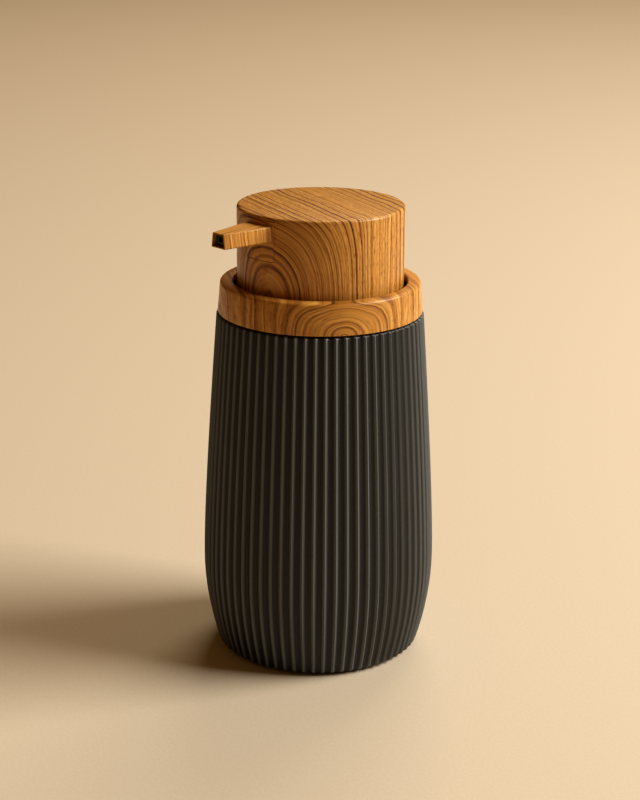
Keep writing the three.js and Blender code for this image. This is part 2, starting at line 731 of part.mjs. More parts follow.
add("nozzle_tube", nozzleTube(), blackPlastic);

function nozzleSeal() {
  const section = corner(nozzleRadius + RUN + SEAL_SECTION, bossY - SEAL_POCKET / 2, SEAL_SECTION, 0, 360, 6);
  return turned(section, 16)
    .rotateX(Math.PI / 2)
    .translate(0, 0, nozzleZ);
}

add("nozzle_seal", nozzleSeal(), blackRubber);

// ---------------------------------------------------------------- actuator core
// The core is welded under the head's ceiling. It grips the stem and turns the flow into the nozzle.
function actuatorCore() {
  const topZ = ceilingZ - TOUCH;
  const post = tube(STEM_RADIUS + CORE_WALL, 0, coreZ, topZ);
  const flange = tube(CORE_FLANGE_RADIUS, 0, topZ - CORE_FLANGE, topZ);
  const bossHalf = nozzleRadius + BOSS_WALL;
  const boss = loft(
    [0, bossY].map((y) => ({
      y,
      low: nozzleZ - bossHalf,
      high: topZ - BOSS_DROP,
      topHalf: bossHalf,
      bottomHalf: bossHalf,
    })),
  );
  // One web on each side that has no boss, from inside the post nearly to the flange's edge.
  const webLength = CORE_FLANGE_RADIUS - WEB_INSET;
  const web = new THREE.BoxGeometry(CORE_WEB, webLength, topZ - stemTopZ)
    .translate(0, -webLength / 2 - WEB_INSET / 2, (topZ + stemTopZ) / 2 - BOSS_DROP);
  const webs = [1, 2, 3].map((i) => solid(web.clone().rotateZ((i * Math.PI) / 2)));
  const stemSocket = solid(tube(STEM_RADIUS + RUN, 0, coreZ - PAST, stemTopZ + TOUCH));
  const riser = solid(tube(BALL_SEAT, 0, stemTopZ, nozzleZ, 16));
  const passage = solid(crossTube(nozzleBore, 0, -BALL_SEAT, nozzleInnerY, 16));
  const nozzleSocket = solid(crossTube(nozzleRadius + RUN, 0, nozzleInnerY - TOUCH, bossY + PAST));
  const pocketOuter = nozzleRadius + 2 * (SEAL_SECTION + RUN);
  const sealPocket = solid(crossTube(pocketOuter, 0, bossY - SEAL_POCKET, bossY + PAST));
  let body = solid(post).add(solid(flange)).add(solid(boss));
  webs.forEach((web) => (body = body.add(web)));
  [stemSocket, riser, passage, nozzleSocket, sealPocket].forEach((cut) => (body = body.subtract(cut)));
  return geometryOf(body);
}

add("actuator_core", actuatorCore(), blackPlastic);

// ---------------------------------------------------------------- head shell
const plateTopZ = headTopZ - PLATE_TUCK;
const plateZ = headTopZ - PLATE_DROP;

function headShell() {
  const inner = HEAD_RADIUS - HEAD_WALL;
  const ringInner = CORE_FLANGE_RADIUS + SLIP;
  const body = turned([
    at(0, ceilingZ),
    at(ringInner, ceilingZ),
    at(ringInner, ceilingZ - CORE_FLANGE),
    at(ringInner + LOCATING_RING, ceilingZ - CORE_FLANGE),
    at(ringInner + LOCATING_RING, ceilingZ),
    at(inner, ceilingZ),
    at(inner, skirtZ + SKIRT_BEVEL),
    at(inner + SKIRT_BEVEL, skirtZ),
    at(HEAD_RADIUS - SKIRT_EASE, skirtZ),
    at(HEAD_RADIUS, skirtZ + SKIRT_EASE),
    ...corner(HEAD_RADIUS - HEAD_EDGE, headTopZ - HEAD_EDGE, HEAD_EDGE, 0, 90),
    at(0, headTopZ),
  ]);
  const edgeGap = SLIP / HEAD_RADIUS;
  const lowZ = plateZ - SLIP;
  const notch = sector(inner - PAST, HEAD_RADIUS + PAST, plateAngle + edgeGap, lowZ, plateTopZ + SLIP);
  return geometryOf(solid(body).subtract(solid(notch)));
}

add("head_shell", headShell(), woodLook);

// ---------------------------------------------------------------- spout
// One moulding: the tapered spout, the plate that fills the head's notch and the catch behind it.
function spout() {
  const inner = HEAD_RADIUS - HEAD_WALL;
  const catchOuter = inner - SLIP;
  const catchInner = catchOuter - CATCH_THICKNESS;
  const catchAngle = plateAngle + CATCH_LAP / inner;
  const flangeZ = ceilingZ - CORE_FLANGE;
  const plate = sector(catchInner, HEAD_RADIUS, plateAngle, plateZ, flangeZ);
  const upper = sector(inner + RUN, HEAD_RADIUS, plateAngle, flangeZ - PAST, plateTopZ);
  const flange = sector(catchInner, catchOuter, catchAngle, plateZ - CATCH_LAP, flangeZ);
  const beak = loft([
    {
      y: inner,
      low: spoutBottomZ,
      high: spoutTopZ,
      topHalf: SPOUT_ROOT_HALF + SLIP,
      bottomHalf: SPOUT_ROOT_HALF + SPOUT_FLARE / 2,
    },
    {
      y: tipY,
      low: spoutBottomZ - SPOUT_DROP,
      high: spoutTopZ - SPOUT_DROP,
      topHalf: SPOUT_TIP_HALF,
      bottomHalf: SPOUT_TIP_HALF + SPOUT_FLARE,
    },
  ]);
  const passage = loft(
    [catchInner - PAST, tipY + PAST].map((y) => ({
      y,
      low: nozzleZ - mouthDepth,
      high: nozzleZ + mouthDepth,
      topHalf: mouthHalf,
      bottomHalf: mouthHalf,
    })),
  );
  const body = [upper, flange, beak].reduce((rest, piece) => rest.add(solid(piece)), solid(plate));
  return geometryOf(body.subtract(solid(passage)));
}

add("spout", spout(), woodLook);

export default dispenser;
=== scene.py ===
"""A countertop soap dispenser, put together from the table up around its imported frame.

Metres, +Z up along the pump, the spout towards -Y. The vessel is ribbed stoneware; collar, head and
spout have a printed wood grain; the pump inside is plastic, rubber and stainless steel.
"""

import math

import bpy
from mathutils import Matrix, Vector


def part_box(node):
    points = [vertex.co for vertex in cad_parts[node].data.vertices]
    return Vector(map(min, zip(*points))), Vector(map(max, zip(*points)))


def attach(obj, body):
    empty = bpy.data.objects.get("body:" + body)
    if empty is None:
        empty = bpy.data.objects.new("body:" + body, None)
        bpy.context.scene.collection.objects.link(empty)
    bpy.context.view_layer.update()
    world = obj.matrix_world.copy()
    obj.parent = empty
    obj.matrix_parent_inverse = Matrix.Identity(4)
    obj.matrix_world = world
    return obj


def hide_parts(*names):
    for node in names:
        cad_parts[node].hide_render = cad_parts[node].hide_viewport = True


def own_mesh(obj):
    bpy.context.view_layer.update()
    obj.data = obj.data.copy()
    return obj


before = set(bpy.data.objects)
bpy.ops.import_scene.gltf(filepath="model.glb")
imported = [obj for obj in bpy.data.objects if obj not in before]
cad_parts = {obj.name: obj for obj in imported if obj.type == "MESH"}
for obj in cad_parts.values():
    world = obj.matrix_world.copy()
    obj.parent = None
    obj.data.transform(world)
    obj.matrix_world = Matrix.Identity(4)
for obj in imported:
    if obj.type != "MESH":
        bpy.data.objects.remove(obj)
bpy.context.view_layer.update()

MM = 0.001
scene = bpy.context.scene

# ---------------------------------------------------------------- camera
# A long lens on a tripod, a little above the dispenser and 46 degrees round from its spout.
CAMERA_TURN = math.radians(45.9)
CAMERA_DISTANCE = 642.3 * MM
CAMERA_HEIGHT = 296.5 * MM
CAMERA_PITCH = 0.3111
CAMERA_ROLL = 0.008
CAMERA_SIDESTEP = 0.19 * MM
LENS = 86.19

lens = bpy.data.cameras.new("camera")
lens.lens = LENS
lens.sensor_width = 36
lens.clip_start = 0.01
camera = bpy.data.objects.new("camera", lens)
scene.collection.objects.link(camera)
turn = Matrix.Rotation(CAMERA_TURN, 4, "Z")
tilt = Matrix.Rotation(math.pi / 2 - CAMERA_PITCH, 4, "X") @ Matrix.Rotation(CAMERA_ROLL, 4, "Z")
stand = Matrix.Translation((CAMERA_SIDESTEP, -CAMERA_DISTANCE, CAMERA_HEIGHT))
camera.matrix_world = turn @ stand @ tilt
scene.camera = camera

# ---------------------------------------------------------------- floor and light
# A plain pale sheet to stand on, a large softbox to the right, a second behind and above, a dim room.
FLOOR_SIZE = 24.0
FLOOR_COLOUR = (0.63, 0.540, 0.420, 1)
FLOOR_ROUGHNESS = 0.75
SPECKLE_SCALE = 900
SPECKLE_DEPTH = 0.025
SHOULDER_HEIGHT = 90 * MM
ROOM_COLOUR = (1.0, 0.54, 0.16, 1)
ROOM_STRENGTH = 0.125


class Wire:
    """A socket in a material's node tree, so that shader maths reads as ordinary maths."""

    def __init__(self, tree, socket):
        self.tree = tree
        self.socket = socket

    def node(self, kind, sockets=(), output=0, **settings):
        """Adds a node of a kind, sets its settings, then its sockets, and returns one of its outputs."""
        made = self.tree.nodes.new(kind)
        for key, value in settings.items():
            setattr(made, key, value)
        for key, value in dict(sockets).items():
            if isinstance(value, Wire):
                self.tree.links.new(value.socket, made.inputs[key])
            else:
                made.inputs[key].default_value = value
        return Wire(self.tree, made.outputs[output])

    def out(self, output):
        """Another output of the same node."""
        return Wire(self.tree, self.socket.node.outputs[output])

    def math(self, operation, *values):
        return self.node("ShaderNodeMath", enumerate(values), operation=operation)

    def __add__(self, other):
        return self.math("ADD", self, other)

    def __radd__(self, other):
        return self.math("ADD", other, self)

    def __sub__(self, other):
        return self.math("SUBTRACT", self, other)

    def __rsub__(self, other):
        return self.math("SUBTRACT", other, self)

    def __mul__(self, other):
        return self.math("MULTIPLY", self, other)

    def __rmul__(self, other):
        return self.math("MULTIPLY", other, self)

    def __truediv__(self, other):
        return self.math("DIVIDE", self, other)

    def __pow__(self, other):
        return self.math("POWER", self, other)

    def step(self, low, high, start=0.0, end=1.0):
        """A smooth step from start to end as the value goes from low to high."""
        return self.node(
            "ShaderNodeMapRange",
            {"Value": self, "From Min": low, "From Max": high, "To Min": start, "To Max": end},
            interpolation_type="SMOOTHSTEP",
        )

    def mix(self, low, high):
        """The colour low where the value is 0 and high where it is 1."""
        colours = {"Factor": self, 6: low, 7: high}
        return self.node("ShaderNodeMix", colours, output=2, data_type="RGBA")

    def noise(self, scale, detail=2.0, roughness=0.5):
        return self.node(
            "ShaderNodeTexNoise",
            {"Vector": self, "Scale": scale, "Detail": detail, "Roughness": roughness},
        )

    def scaled(self, x, y, z):
        """A vector with each axis scaled by its own number."""
        return self.node("ShaderNodeVectorMath", {0: self, 1: (x, y, z)}, operation="MULTIPLY")


def start_material(name, **constants):
    """A new material: its Object coordinates, and a function that links or sets the shader's sockets."""
    material = bpy.data.materials.new(name)
    material.use_nodes = True
    tree = material.node_tree
    shader = tree.nodes["Principled BSDF"]
    for key, value in constants.items():
        shader.inputs[key.replace("_", " ")].default_value = value

    def wear(**links):
        for key, value in links.items():
            tree.links.new(value.socket, shader.inputs[key.replace("_", " ")])

    origin = tree.nodes.new("ShaderNodeTexCoord")
    return material, Wire(tree, origin.outputs["Object"]), wear


def floor_material():
    material, place, wear = start_material("pale_floor", Roughness=FLOOR_ROUGHNESS)
    grain = place.noise(SPECKLE_SCALE, 3.0)
    pale = [channel * (1 + SPECKLE_DEPTH) for channel in FLOOR_COLOUR[:3]] + [1]
    dull = [channel * (1 - SPECKLE_DEPTH) for channel in FLOOR_COLOUR[:3]] + [1]
    wear(Base_Color=grain.step(0.3, 0.7).mix(dull, pale))
    return material


def deselect():
    """Leaves edit mode if it is on and selects nothing."""
    if bpy.context.object and bpy.context.object.mode != "OBJECT":
        bpy.ops.object.mode_set(mode="OBJECT")
    bpy.ops.object.select_all(action="DESELECT")


deselect()
bpy.ops.mesh.primitive_plane_add(size=FLOOR_SIZE, location=(0, 0, 0))
floor = bpy.context.object
floor.name = "floor"
floor.data.materials.append(floor_material())


def softbox(name, turn_degrees, height, distance, size, power, colour):
    """A square area light aimed at the dispenser's shoulder, placed by its turn from the camera."""
    light = bpy.data.lights.new(name, "AREA")
    light.shape = "SQUARE"
    light.size = size
    light.energy = power
    light.color = colour
    lamp = bpy.data.objects.new(name, light)
    scene.collection.objects.link(lamp)
    angle = CAMERA_TURN + math.radians(turn_degrees)
    spot = Vector((distance * math.sin(angle), -distance * math.cos(angle), height))
    aim = Vector((0, 0, SHOULDER_HEIGHT)) - spot
    lamp.matrix_world = Matrix.Translation(spot) @ aim.to_track_quat("-Z", "Y").to_matrix().to_4x4()


softbox("key", 88, 1.25, 1.65, 1.2, 58, (1.0, 0.96, 0.88))
softbox("back", 165, 2.4, 2.3, 1.6, 34, (1.0, 0.86, 0.66))

room = bpy.data.worlds.new("room")
room.use_nodes = True
room.node_tree.nodes["Background"].inputs["Color"].default_value = ROOM_COLOUR
room.node_tree.nodes["Background"].inputs["Strength"].default_value = ROOM_STRENGTH
scene.world = room
scene.view_settings.view_transform = "Standard"
scene.view_settings.look = "Medium High Contrast"

# ---------------------------------------------------------------- base pad
# A disc of black rubber glued into a recess under the vessel, which stands on it. Three shallow
# rings moulded into its underside keep it from slipping.
TURN_STEPS = 160
ROUND_SEGMENTS = 5
CREASE = 35
FIT = 0.2 * MM
SEAT = 0.15 * MM
RUN = 0.1 * MM
PAD_GROOVES = (12 * MM, 18 * MM, 24 * MM)
GROOVE_WIDTH = 1.6 * MM
GROOVE_DEPTH = 0.4 * MM
RUBBER = ((0.010, 0.010, 0.010, 1), (0.022, 0.021, 0.020, 1))


def pick(obj, test):
    """Selects, in edit mode, the points that pass a test on their place."""
    bpy.ops.object.mode_set(mode="OBJECT")
    for edge in obj.data.edges:
        edge.select = False
    for face in obj.data.polygons:
        face.select = False
    for vertex in obj.data.vertices:
        vertex.select = test(vertex)
    bpy.ops.object.mode_set(mode="EDIT")
    bpy.ops.mesh.select_mode(type="VERT")


def finish_mesh(obj, crease=CREASE, weld=1e-6):
    """Joins doubled points, turns the faces outwards and shades the piece smooth up to a crease."""
    bpy.ops.object.mode_set(mode="EDIT")
    bpy.ops.mesh.select_all(action="SELECT")
    bpy.ops.mesh.remove_doubles(threshold=weld)
    bpy.ops.mesh.normals_make_consistent(inside=False)
    bpy.ops.object.mode_set(mode="OBJECT")
    bpy.ops.object.shade_smooth_by_angle(angle=math.radians(crease))


def turned(name, outline, sweep=360.0, steps=TURN_STEPS):
    """Spins an outline of (radius, height) points about the pump's axis. A third number rounds a corner."""
    deselect()
    bpy.ops.mesh.primitive_plane_add(size=MM)
    piece = bpy.context.object
    piece.name = name
    bpy.ops.object.mode_set(mode="EDIT")
    bpy.ops.mesh.select_mode(type="VERT")
    bpy.ops.mesh.merge(type="CENTER")
    first = Vector((outline[0][0], 0, outline[0][1]))
    bpy.ops.transform.translate(value=first)
    on_axis = outline[0][0] == 0 and outline[-1][0] == 0
    here = first
    for point in outline[1:] if on_axis else [*outline[1:], outline[0]]:
        there = Vector((point[0], 0, point[1]))
        bpy.ops.mesh.extrude_region_move(TRANSFORM_OT_translate={"value": there - here})
        here = there
    bpy.ops.mesh.select_all(action="SELECT")
    bpy.ops.mesh.remove_doubles(threshold=1e-6)
    for corner in [point for point in outline if len(point) == 3]:
        place = Vector((corner[0], 0, corner[1]))
        pick(piece, lambda v: (v.co - place).length < 1e-6)
        bpy.ops.mesh.bevel(affect="VERTICES", offset=corner[2], segments=ROUND_SEGMENTS)
    bpy.ops.mesh.select_all(action="SELECT")
    around = max(3, round(steps * sweep / 360))
    bpy.ops.mesh.spin(steps=around, angle=math.radians(sweep), center=(0, 0, 0), axis=(0, 0, 1))
    if sweep < 360:
        close_ends(piece)
    finish_mesh(piece)
    return piece


def close_ends(piece):
    """Fills the two open ends of a part-turn."""
    bpy.ops.mesh.select_all(action="SELECT")
    bpy.ops.mesh.remove_doubles(threshold=1e-6)
    bpy.ops.mesh.select_all(action="DESELECT")
    bpy.ops.mesh.select_mode(type="EDGE")
    bpy.ops.mesh.select_non_manifold()
    bpy.ops.mesh.edge_face_add()


def moulded(name, colours, roughness, cloud=60, grain=900, relief=0.15, **constants):
    """A moulded material: two colours in soft clouds, and a fine grain in its relief and its gloss."""
    material, place, wear = start_material(name, **constants)
    clouds = place.noise(cloud, 3.0, 0.55)
    fine = place.noise(grain, 3.0, 0.6)
    bump = place.node("ShaderNodeBump", {"Height": fine, "Strength": relief, "Distance": 0.00008})
    dull = (clouds * 0.5 + fine * 0.5).step(0.35, 0.65, *roughness)
    wear(Base_Color=clouds.step(0.3, 0.7).mix(*colours), Roughness=dull, Normal=bump)
    return material


def place_piece(piece, material, body, slot, *nodes):
    """Gives a finished piece its material, its body and the CAD nodes it stands for. The slot argument is
    not used.
    """
    piece.data.materials.clear()
    piece.data.materials.append(material)
    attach(piece, body)
    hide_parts(*nodes)


rubber = moulded("black_rubber", RUBBER, (0.68, 0.85), grain=1500, relief=0.3, Specular_IOR_Level=0.35)
pad_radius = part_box("base_pad")[1][0]
pad_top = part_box("base_pad")[1][2]
underside = [(0, 0)]
for groove in PAD_GROOVES:
    far = groove + GROOVE_WIDTH
    underside += [(groove, 0), (groove, GROOVE_DEPTH), (far, GROOVE_DEPTH), (far, 0)]
edge = [(pad_radius, 0, 0.4 * MM), (pad_radius, pad_top, 0.2 * MM), (0, pad_top)]
place_piece(turned("pad", underside + edge), rubber, "vessel_body", "black_rubber", "base_pad")

# ---------------------------------------------------------------- vessel
# A slip-cast stoneware bottle with upright ribs from foot to rim and a matt charcoal glaze.
# Its shoulder is sunk below the rim, and the threaded neck is glued into the shoulder's hole.
RIB_COUNT = 66
RIB_DEPTH = 0.9 * MM
RIB_COLUMNS = 8
RIB_ROUNDNESS = 2.0
RIM_ROUNDING = (0.0, 0.1, 0.3, 0.6)
FOOT_ROUNDING = (0.1, 0.2, 0.4, 0.7, 1.0)
FOOT_SWEEP = 105 * MM
FOOT_EDGE = 2.2 * MM
BELLY_HEIGHT = 34 * MM
BELLY_SWEEP = 20.4 * MM
RIM_LEAN = 0.067
RIM_STRAIGHT = 10 * MM
RIM_EDGE = 0.7 * MM
VESSEL_WALL = 3.4 * MM
VESSEL_FLOOR = 4.5 * MM
SHOULDER = 4 * MM
INSERT_LAP = 4 * MM
FLOOR_COVE = 3 * MM
EASE = 0.5 * MM
RIM_OVERHANG = 0.5 * MM
RECESS_GAP = 0.5 * MM
UPPER_STEP = 1.2 * MM
UPPER_SWELL = 2 * MM
UPPER_SWEEP = 30 * MM
# Painted shade for the rib grooves and a painted highlight for the rib crests; only a little of the
# difference is the glaze's own colour.
STONE_GROOVE_SHADE = (0.0030, 0.0033, 0.0036, 1)
STONE_CREST_HIGHLIGHT = (0.125, 0.132, 0.134, 1)
STONE_SPECK = (0.075, 0.074, 0.070, 1)

vessel_low, vessel_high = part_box("vessel")
foot_z = vessel_low[2]
rim_z = vessel_high[2]
belly_radius = -vessel_low[1]
rim_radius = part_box("collar_ring")[1][0] + RIM_OVERHANG
carrier_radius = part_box("well_cup")[1][0]
insert_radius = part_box("neck_insert")[1][0]
shoulder_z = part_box("insert_seal")[0][2] - SEAT
floor_z = pad_top + SEAT + VESSEL_FLOOR


def arc(x, z, radius, start, end, steps):
    """Points of an arc in the outline's plane, from one angle to another in degrees."""
    turns = [math.radians(start + (end - start) * i / steps) for i in range(steps + 1)]
    return [(x + radius * math.cos(t), z + radius * math.sin(t)) for t in turns]


def bezier(a, b, c, d, steps):
    """Points of a cubic curve."""
    points = []
    for i in range(steps + 1):
        t = i / steps
        weights = ((1 - t) ** 3, 3 * t * (1 - t) ** 2, 3 * t * t * (1 - t), t**3)
        points.append(tuple(sum(w * p[k] for w, p in zip(weights, (a, b, c, d))) for k in (0, 1)))
    return points


def vessel_outline():
    """The vessel's side from the underside's edge to the rim's edge, as (radius, height) points."""
    tuck_x = belly_radius - FOOT_SWEEP
    edge_z = foot_z + FOOT_EDGE
    edge_turn = -math.degrees(math.asin((BELLY_HEIGHT - edge_z) / (FOOT_SWEEP - FOOT_EDGE)))
    edge_x = tuck_x + (FOOT_SWEEP - FOOT_EDGE) * math.cos(math.radians(edge_turn))
    foot = arc(edge_x, edge_z, FOOT_EDGE, -90, edge_turn, 5)
    tuck = arc(tuck_x, BELLY_HEIGHT, FOOT_SWEEP, edge_turn, 0, 8)
    side = bezier(
        (belly_radius, BELLY_HEIGHT),
        (belly_radius, BELLY_HEIGHT + BELLY_SWEEP),
        (rim_radius + RIM_LEAN * RIM_STRAIGHT, rim_z - RIM_STRAIGHT),
        (rim_radius, rim_z - RIM_EDGE),
        14,
    )
    rim = arc(rim_radius - RIM_EDGE, rim_z - RIM_EDGE, RIM_EDGE, 0, 90, 4)
    return foot, tuck[1:] + side[1:], rim[1:]


class Ring:
    """A ring of points, pulled up step by step from a circle pressed into ribs."""

    def __init__(self, name, radius, height):
        around = RIB_COUNT * RIB_COLUMNS
        bpy.ops.mesh.primitive_circle_add(vertices=around, radius=radius, location=(0, 0, height))
        self.obj = bpy.context.object
        self.obj.name = name
        bpy.ops.object.transform_apply(location=True)
        self.radius = radius
        self.height = height
        for column in range(1, RIB_COLUMNS):
            across = abs(2 * column / RIB_COLUMNS - 1)
            depth = RIB_DEPTH * (1 - across**RIB_ROUNDNESS)
            pick(self.obj, lambda v: v.index % RIB_COLUMNS == column)
            shrink = (radius - depth) / radius
            bpy.ops.transform.resize(value=(shrink, shrink, 1), center_override=(0, 0, height))
        bpy.ops.mesh.select_all(action="SELECT")

    def pull(self, radius, height, rounder=0.0):
        """Extrudes the selected ring to a radius and height, and rounds its ribs off by a share."""
        rise = (0, 0, height - self.height)
        bpy.ops.mesh.extrude_region_move(TRANSFORM_OT_translate={"value": rise})
        share = radius / self.radius
        bpy.ops.transform.resize(value=(share, share, 1), center_override=(0, 0, height))
        if rounder:
            bpy.ops.transform.tosphere(value=rounder)
        self.radius = radius
        self.height = height

    def close(self):
        """Closes the last ring on the axis."""
        bpy.ops.mesh.extrude_region_move()
        bpy.ops.mesh.merge(type="CENTER")

    def restart(self, radius, height):
        """Goes back to the first ring."""
        pick(self.obj, lambda v: v.index < RIB_COUNT * RIB_COLUMNS)
        self.radius = radius
        self.height = height


def make_vessel():
    foot, side, rim = vessel_outline()
    start = foot[-1]
    ring = Ring("ribbed_vessel", *start)
    for radius, height in side:
        ring.pull(radius, height)
    for (radius, height), rounder in zip(rim, RIM_ROUNDING):
        ring.pull(radius, height, rounder)
    for radius, height in inside_outline():
        ring.pull(radius, height)
    ring.close()
    ring.restart(*start)
    for (radius, height), rounder in zip(reversed(foot[:-1]), FOOT_ROUNDING):
        ring.pull(radius, height, rounder)
    for radius, height in ((pad_radius + FIT, foot_z), (pad_radius + FIT, pad_top + SEAT)):
        ring.pull(radius, height)
    ring.close()
    finish_mesh(ring.obj)
    return ring.obj


def inside_outline():
    """The recess, the neck's hole and the reservoir, from the rim down to the floor."""
    recess = carrier_radius + RECESS_GAP
    hole = insert_radius - INSERT_LAP + FIT
    ceiling = shoulder_z - SHOULDER
    tuck_x = belly_radius - FOOT_SWEEP
    low = floor_z + FLOOR_COVE
    low_turn = -math.degrees(math.asin((BELLY_HEIGHT - low) / (FOOT_SWEEP - VESSEL_WALL)))
    walls = arc(tuck_x, BELLY_HEIGHT, FOOT_SWEEP - VESSEL_WALL, 0, low_turn, 6)
    high = rim_radius + UPPER_STEP - VESSEL_WALL
    upper = bezier(
        (high, ceiling - FLOOR_COVE),
        (high + UPPER_SWELL, ceiling - UPPER_SWEEP),
        (belly_radius - VESSEL_WALL, BELLY_HEIGHT + BELLY_SWEEP),
        (belly_radius - VESSEL_WALL, BELLY_HEIGHT),
        6,
    )
    top_cove = arc(high - FLOOR_COVE, ceiling - FLOOR_COVE, FLOOR_COVE, 90, 0, 3)
    cove_x = walls[-1][0] - FLOOR_COVE
    cove = arc(cove_x, low, FLOOR_COVE, 0, -90, 3)
    mouth = [
        (recess + EASE, rim_z),
        (recess, rim_z - EASE),
        (recess, shoulder_z),
        (hole + EASE, shoulder_z),
        (hole, shoulder_z - EASE),
        (hole, ceiling),
    ]
    return mouth + top_cove + upper[1:] + walls[1:] + cove


def stoneware():
    """Charcoal glaze: matt, faintly mottled, with a painted highlight on the rib crests and painted shade
    in the grooves, a small part of which is the glaze's own breaking lighter over the crests.
    """
    material, place, wear = start_material("charcoal_stoneware", Specular_IOR_Level=0.38)
    metres = place.node("ShaderNodeSeparateXYZ", {"Vector": place})
    around = metres.math("ARCTAN2", metres.out("Y"), metres) * RIB_COUNT
    # Painted shade and highlight: the crests get a far lighter colour than the nearly black grooves,
    # standing in for light catching the ribs and shade in the grooves.
    crest_highlight = around.math("COSINE", around).step(0.10, -1.0)
    cloud = place.noise(38, 4.0, 0.6)
    speck = place.noise(1400, 3.0, 0.65)
    body = (crest_highlight * 0.88 + cloud * 0.12).mix(STONE_GROOVE_SHADE, STONE_CREST_HIGHLIGHT)
    speckled = speck.step(0.62, 0.72, 0.0, 0.35).mix(body, STONE_SPECK)
    bump = place.node(
        "ShaderNodeBump",
        {"Height": speck * 0.6 + place.noise(420, 2.0) * 0.4, "Strength": 0.25, "Distance": 0.00012},
    )
    wear(Base_Color=speckled, Roughness=cloud.step(0.3, 0.7, 0.38, 0.46), Normal=bump)
    return material


deselect()
place_piece(make_vessel(), stoneware(), "vessel_body", "stoneware", "vessel")

# ---------------------------------------------------------------- neck insert and its seals
# The threaded neck is a black moulding glued into the shoulder over a white seal. A second white
# ring lies on the neck's top and is squeezed by the pump's flange.
GASKET_EDGE = 0.2 * MM
BLACK_PLASTIC = ((0.010, 0.0095, 0.009, 1), (0.018, 0.017, 0.016, 1))
WHITE_SEAL = ((0.72, 0.71, 0.67, 1), (0.84, 0.83, 0.79, 1))

black_plastic = moulded("black_plastic", BLACK_PLASTIC, (0.34, 0.46), Specular_IOR_Level=0.45)
white_seal = moulded("white_seal", WHITE_SEAL, (0.48, 0.62), grain=1200)


def dress(node, material):
    """Gives a CAD node that is shown as it is a material of its own."""
    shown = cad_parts[node]
    shown.data.materials.clear()
    shown.data.materials.append(material)


def washer(node, bore, edge=GASKET_EDGE):
    """A flat ring with rounded edges, at its CAD node's place, with a bore of its own."""
    low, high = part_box(node)
    outer = high[0]
    section = [(bore, low[2]), (outer, low[2]), (outer, high[2]), (bore, high[2])]
    return turned(node + "_ring", [corner + (edge,) for corner in section])


dress("neck_insert", black_plastic)
neck_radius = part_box("neck_gasket")[1][0]
neck_bore = neck_radius - 2 * MM
insert_seal = washer("insert_seal", insert_radius - INSERT_LAP + FIT)
place_piece(insert_seal, white_seal, "vessel_body", "white_seal", "insert_seal")
neck_gasket = washer("neck_gasket", neck_bore - RUN)
place_piece(neck_gasket, white_seal, "pump_engine", "white_seal", "neck_gasket")

# ---------------------------------------------------------------- pump housing and dip tube
# The barrel is moulded in natural polypropylene, milky and faintly glossy. Its tail holds the
# extruded dip tube, whose end is cut on the slant. A small vent lets air into the vessel.
BARREL_WALL = 1.3 * MM
BALL_SEAT = 1.4 * MM
TUBE_BORE = 2.2 * MM
TUBE_SLANT = math.radians(36)
VENT_RADIUS = 0.7 * MM
HOUSING_FLANGE = 1.4 * MM
SOCKET_SHOULDER = 2 * MM
SMALL_EDGE = 0.25 * MM
POLYPROPYLENE = ((0.66, 0.68, 0.66, 1), (0.78, 0.79, 0.77, 1))

natural_plastic = moulded(
    "natural_plastic", POLYPROPYLENE, (0.26, 0.38), cloud=45, relief=0.08, Subsurface_Weight=0.2,
    Subsurface_Scale=0.002,
)


def cut(piece, cutter, operation="DIFFERENCE"):
    """Applies a boolean with another piece and deletes that piece."""
    deselect()
    piece.select_set(True)
    bpy.context.view_layer.objects.active = piece
    modifier = piece.modifiers.new("cut", "BOOLEAN")
    modifier.operation = operation
    modifier.solver = "EXACT"
    modifier.material_mode = "TRANSFER"
    modifier.object = cutter
    bpy.ops.object.modifier_apply(modifier=modifier.name)
    bpy.data.objects.remove(cutter)
    bpy.ops.object.shade_smooth_by_angle(angle=math.radians(CREASE))


housing_low, housing_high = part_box("pump_housing")
tube_low, tube_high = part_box("dip_tube")
retainer_low, retainer_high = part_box("ball_retainer")
tube_radius = tube_high[0]
barrel_bore = retainer_high[0] + RUN
barrel_radius = barrel_bore + BARREL_WALL
tail_radius = tube_radius + RUN + BARREL_WALL
pocket_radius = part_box("inlet_ball")[1][0] + 4 * RUN
socket_top = tube_high[2] + SEAT
seat_z = socket_top + SOCKET_SHOULDER
barrel_floor = retainer_low[2] - SEAT
flange_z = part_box("neck_gasket")[1][2] + SEAT
housing = turned(
    "housing",
    [
        (BALL_SEAT, socket_top),
        (tube_radius + RUN, socket_top),
        (tube_radius + RUN, housing_low[2]),
        (tail_radius, housing_low[2], SMALL_EDGE),
        (tail_radius, seat_z),
        (barrel_radius, seat_z + 2 * BARREL_WALL),
        (barrel_radius, flange_z),
        (housing_high[0], flange_z),
        (housing_high[0], flange_z + HOUSING_FLANGE, SMALL_EDGE),
        (barrel_radius, flange_z + HOUSING_FLANGE),
        (barrel_radius, housing_high[2], SMALL_EDGE),
        (barrel_bore, housing_high[2], SMALL_EDGE),
        (barrel_bore, barrel_floor),
        (pocket_radius, barrel_floor),
        (pocket_radius, seat_z + (pocket_radius - BALL_SEAT) / 2),
        (BALL_SEAT, seat_z),
    ],
    steps=96,
)
vent_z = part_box("piston")[1][2] - 2.5 * MM
bpy.ops.mesh.primitive_cylinder_add(
    vertices=24, radius=VENT_RADIUS, depth=4 * BARREL_WALL, location=(barrel_radius, 0, vent_z),
    rotation=(0, math.pi / 2, 0),
)
cut(housing, bpy.context.object)
place_piece(housing, natural_plastic, "pump_engine", "natural_plastic", "pump_housing")

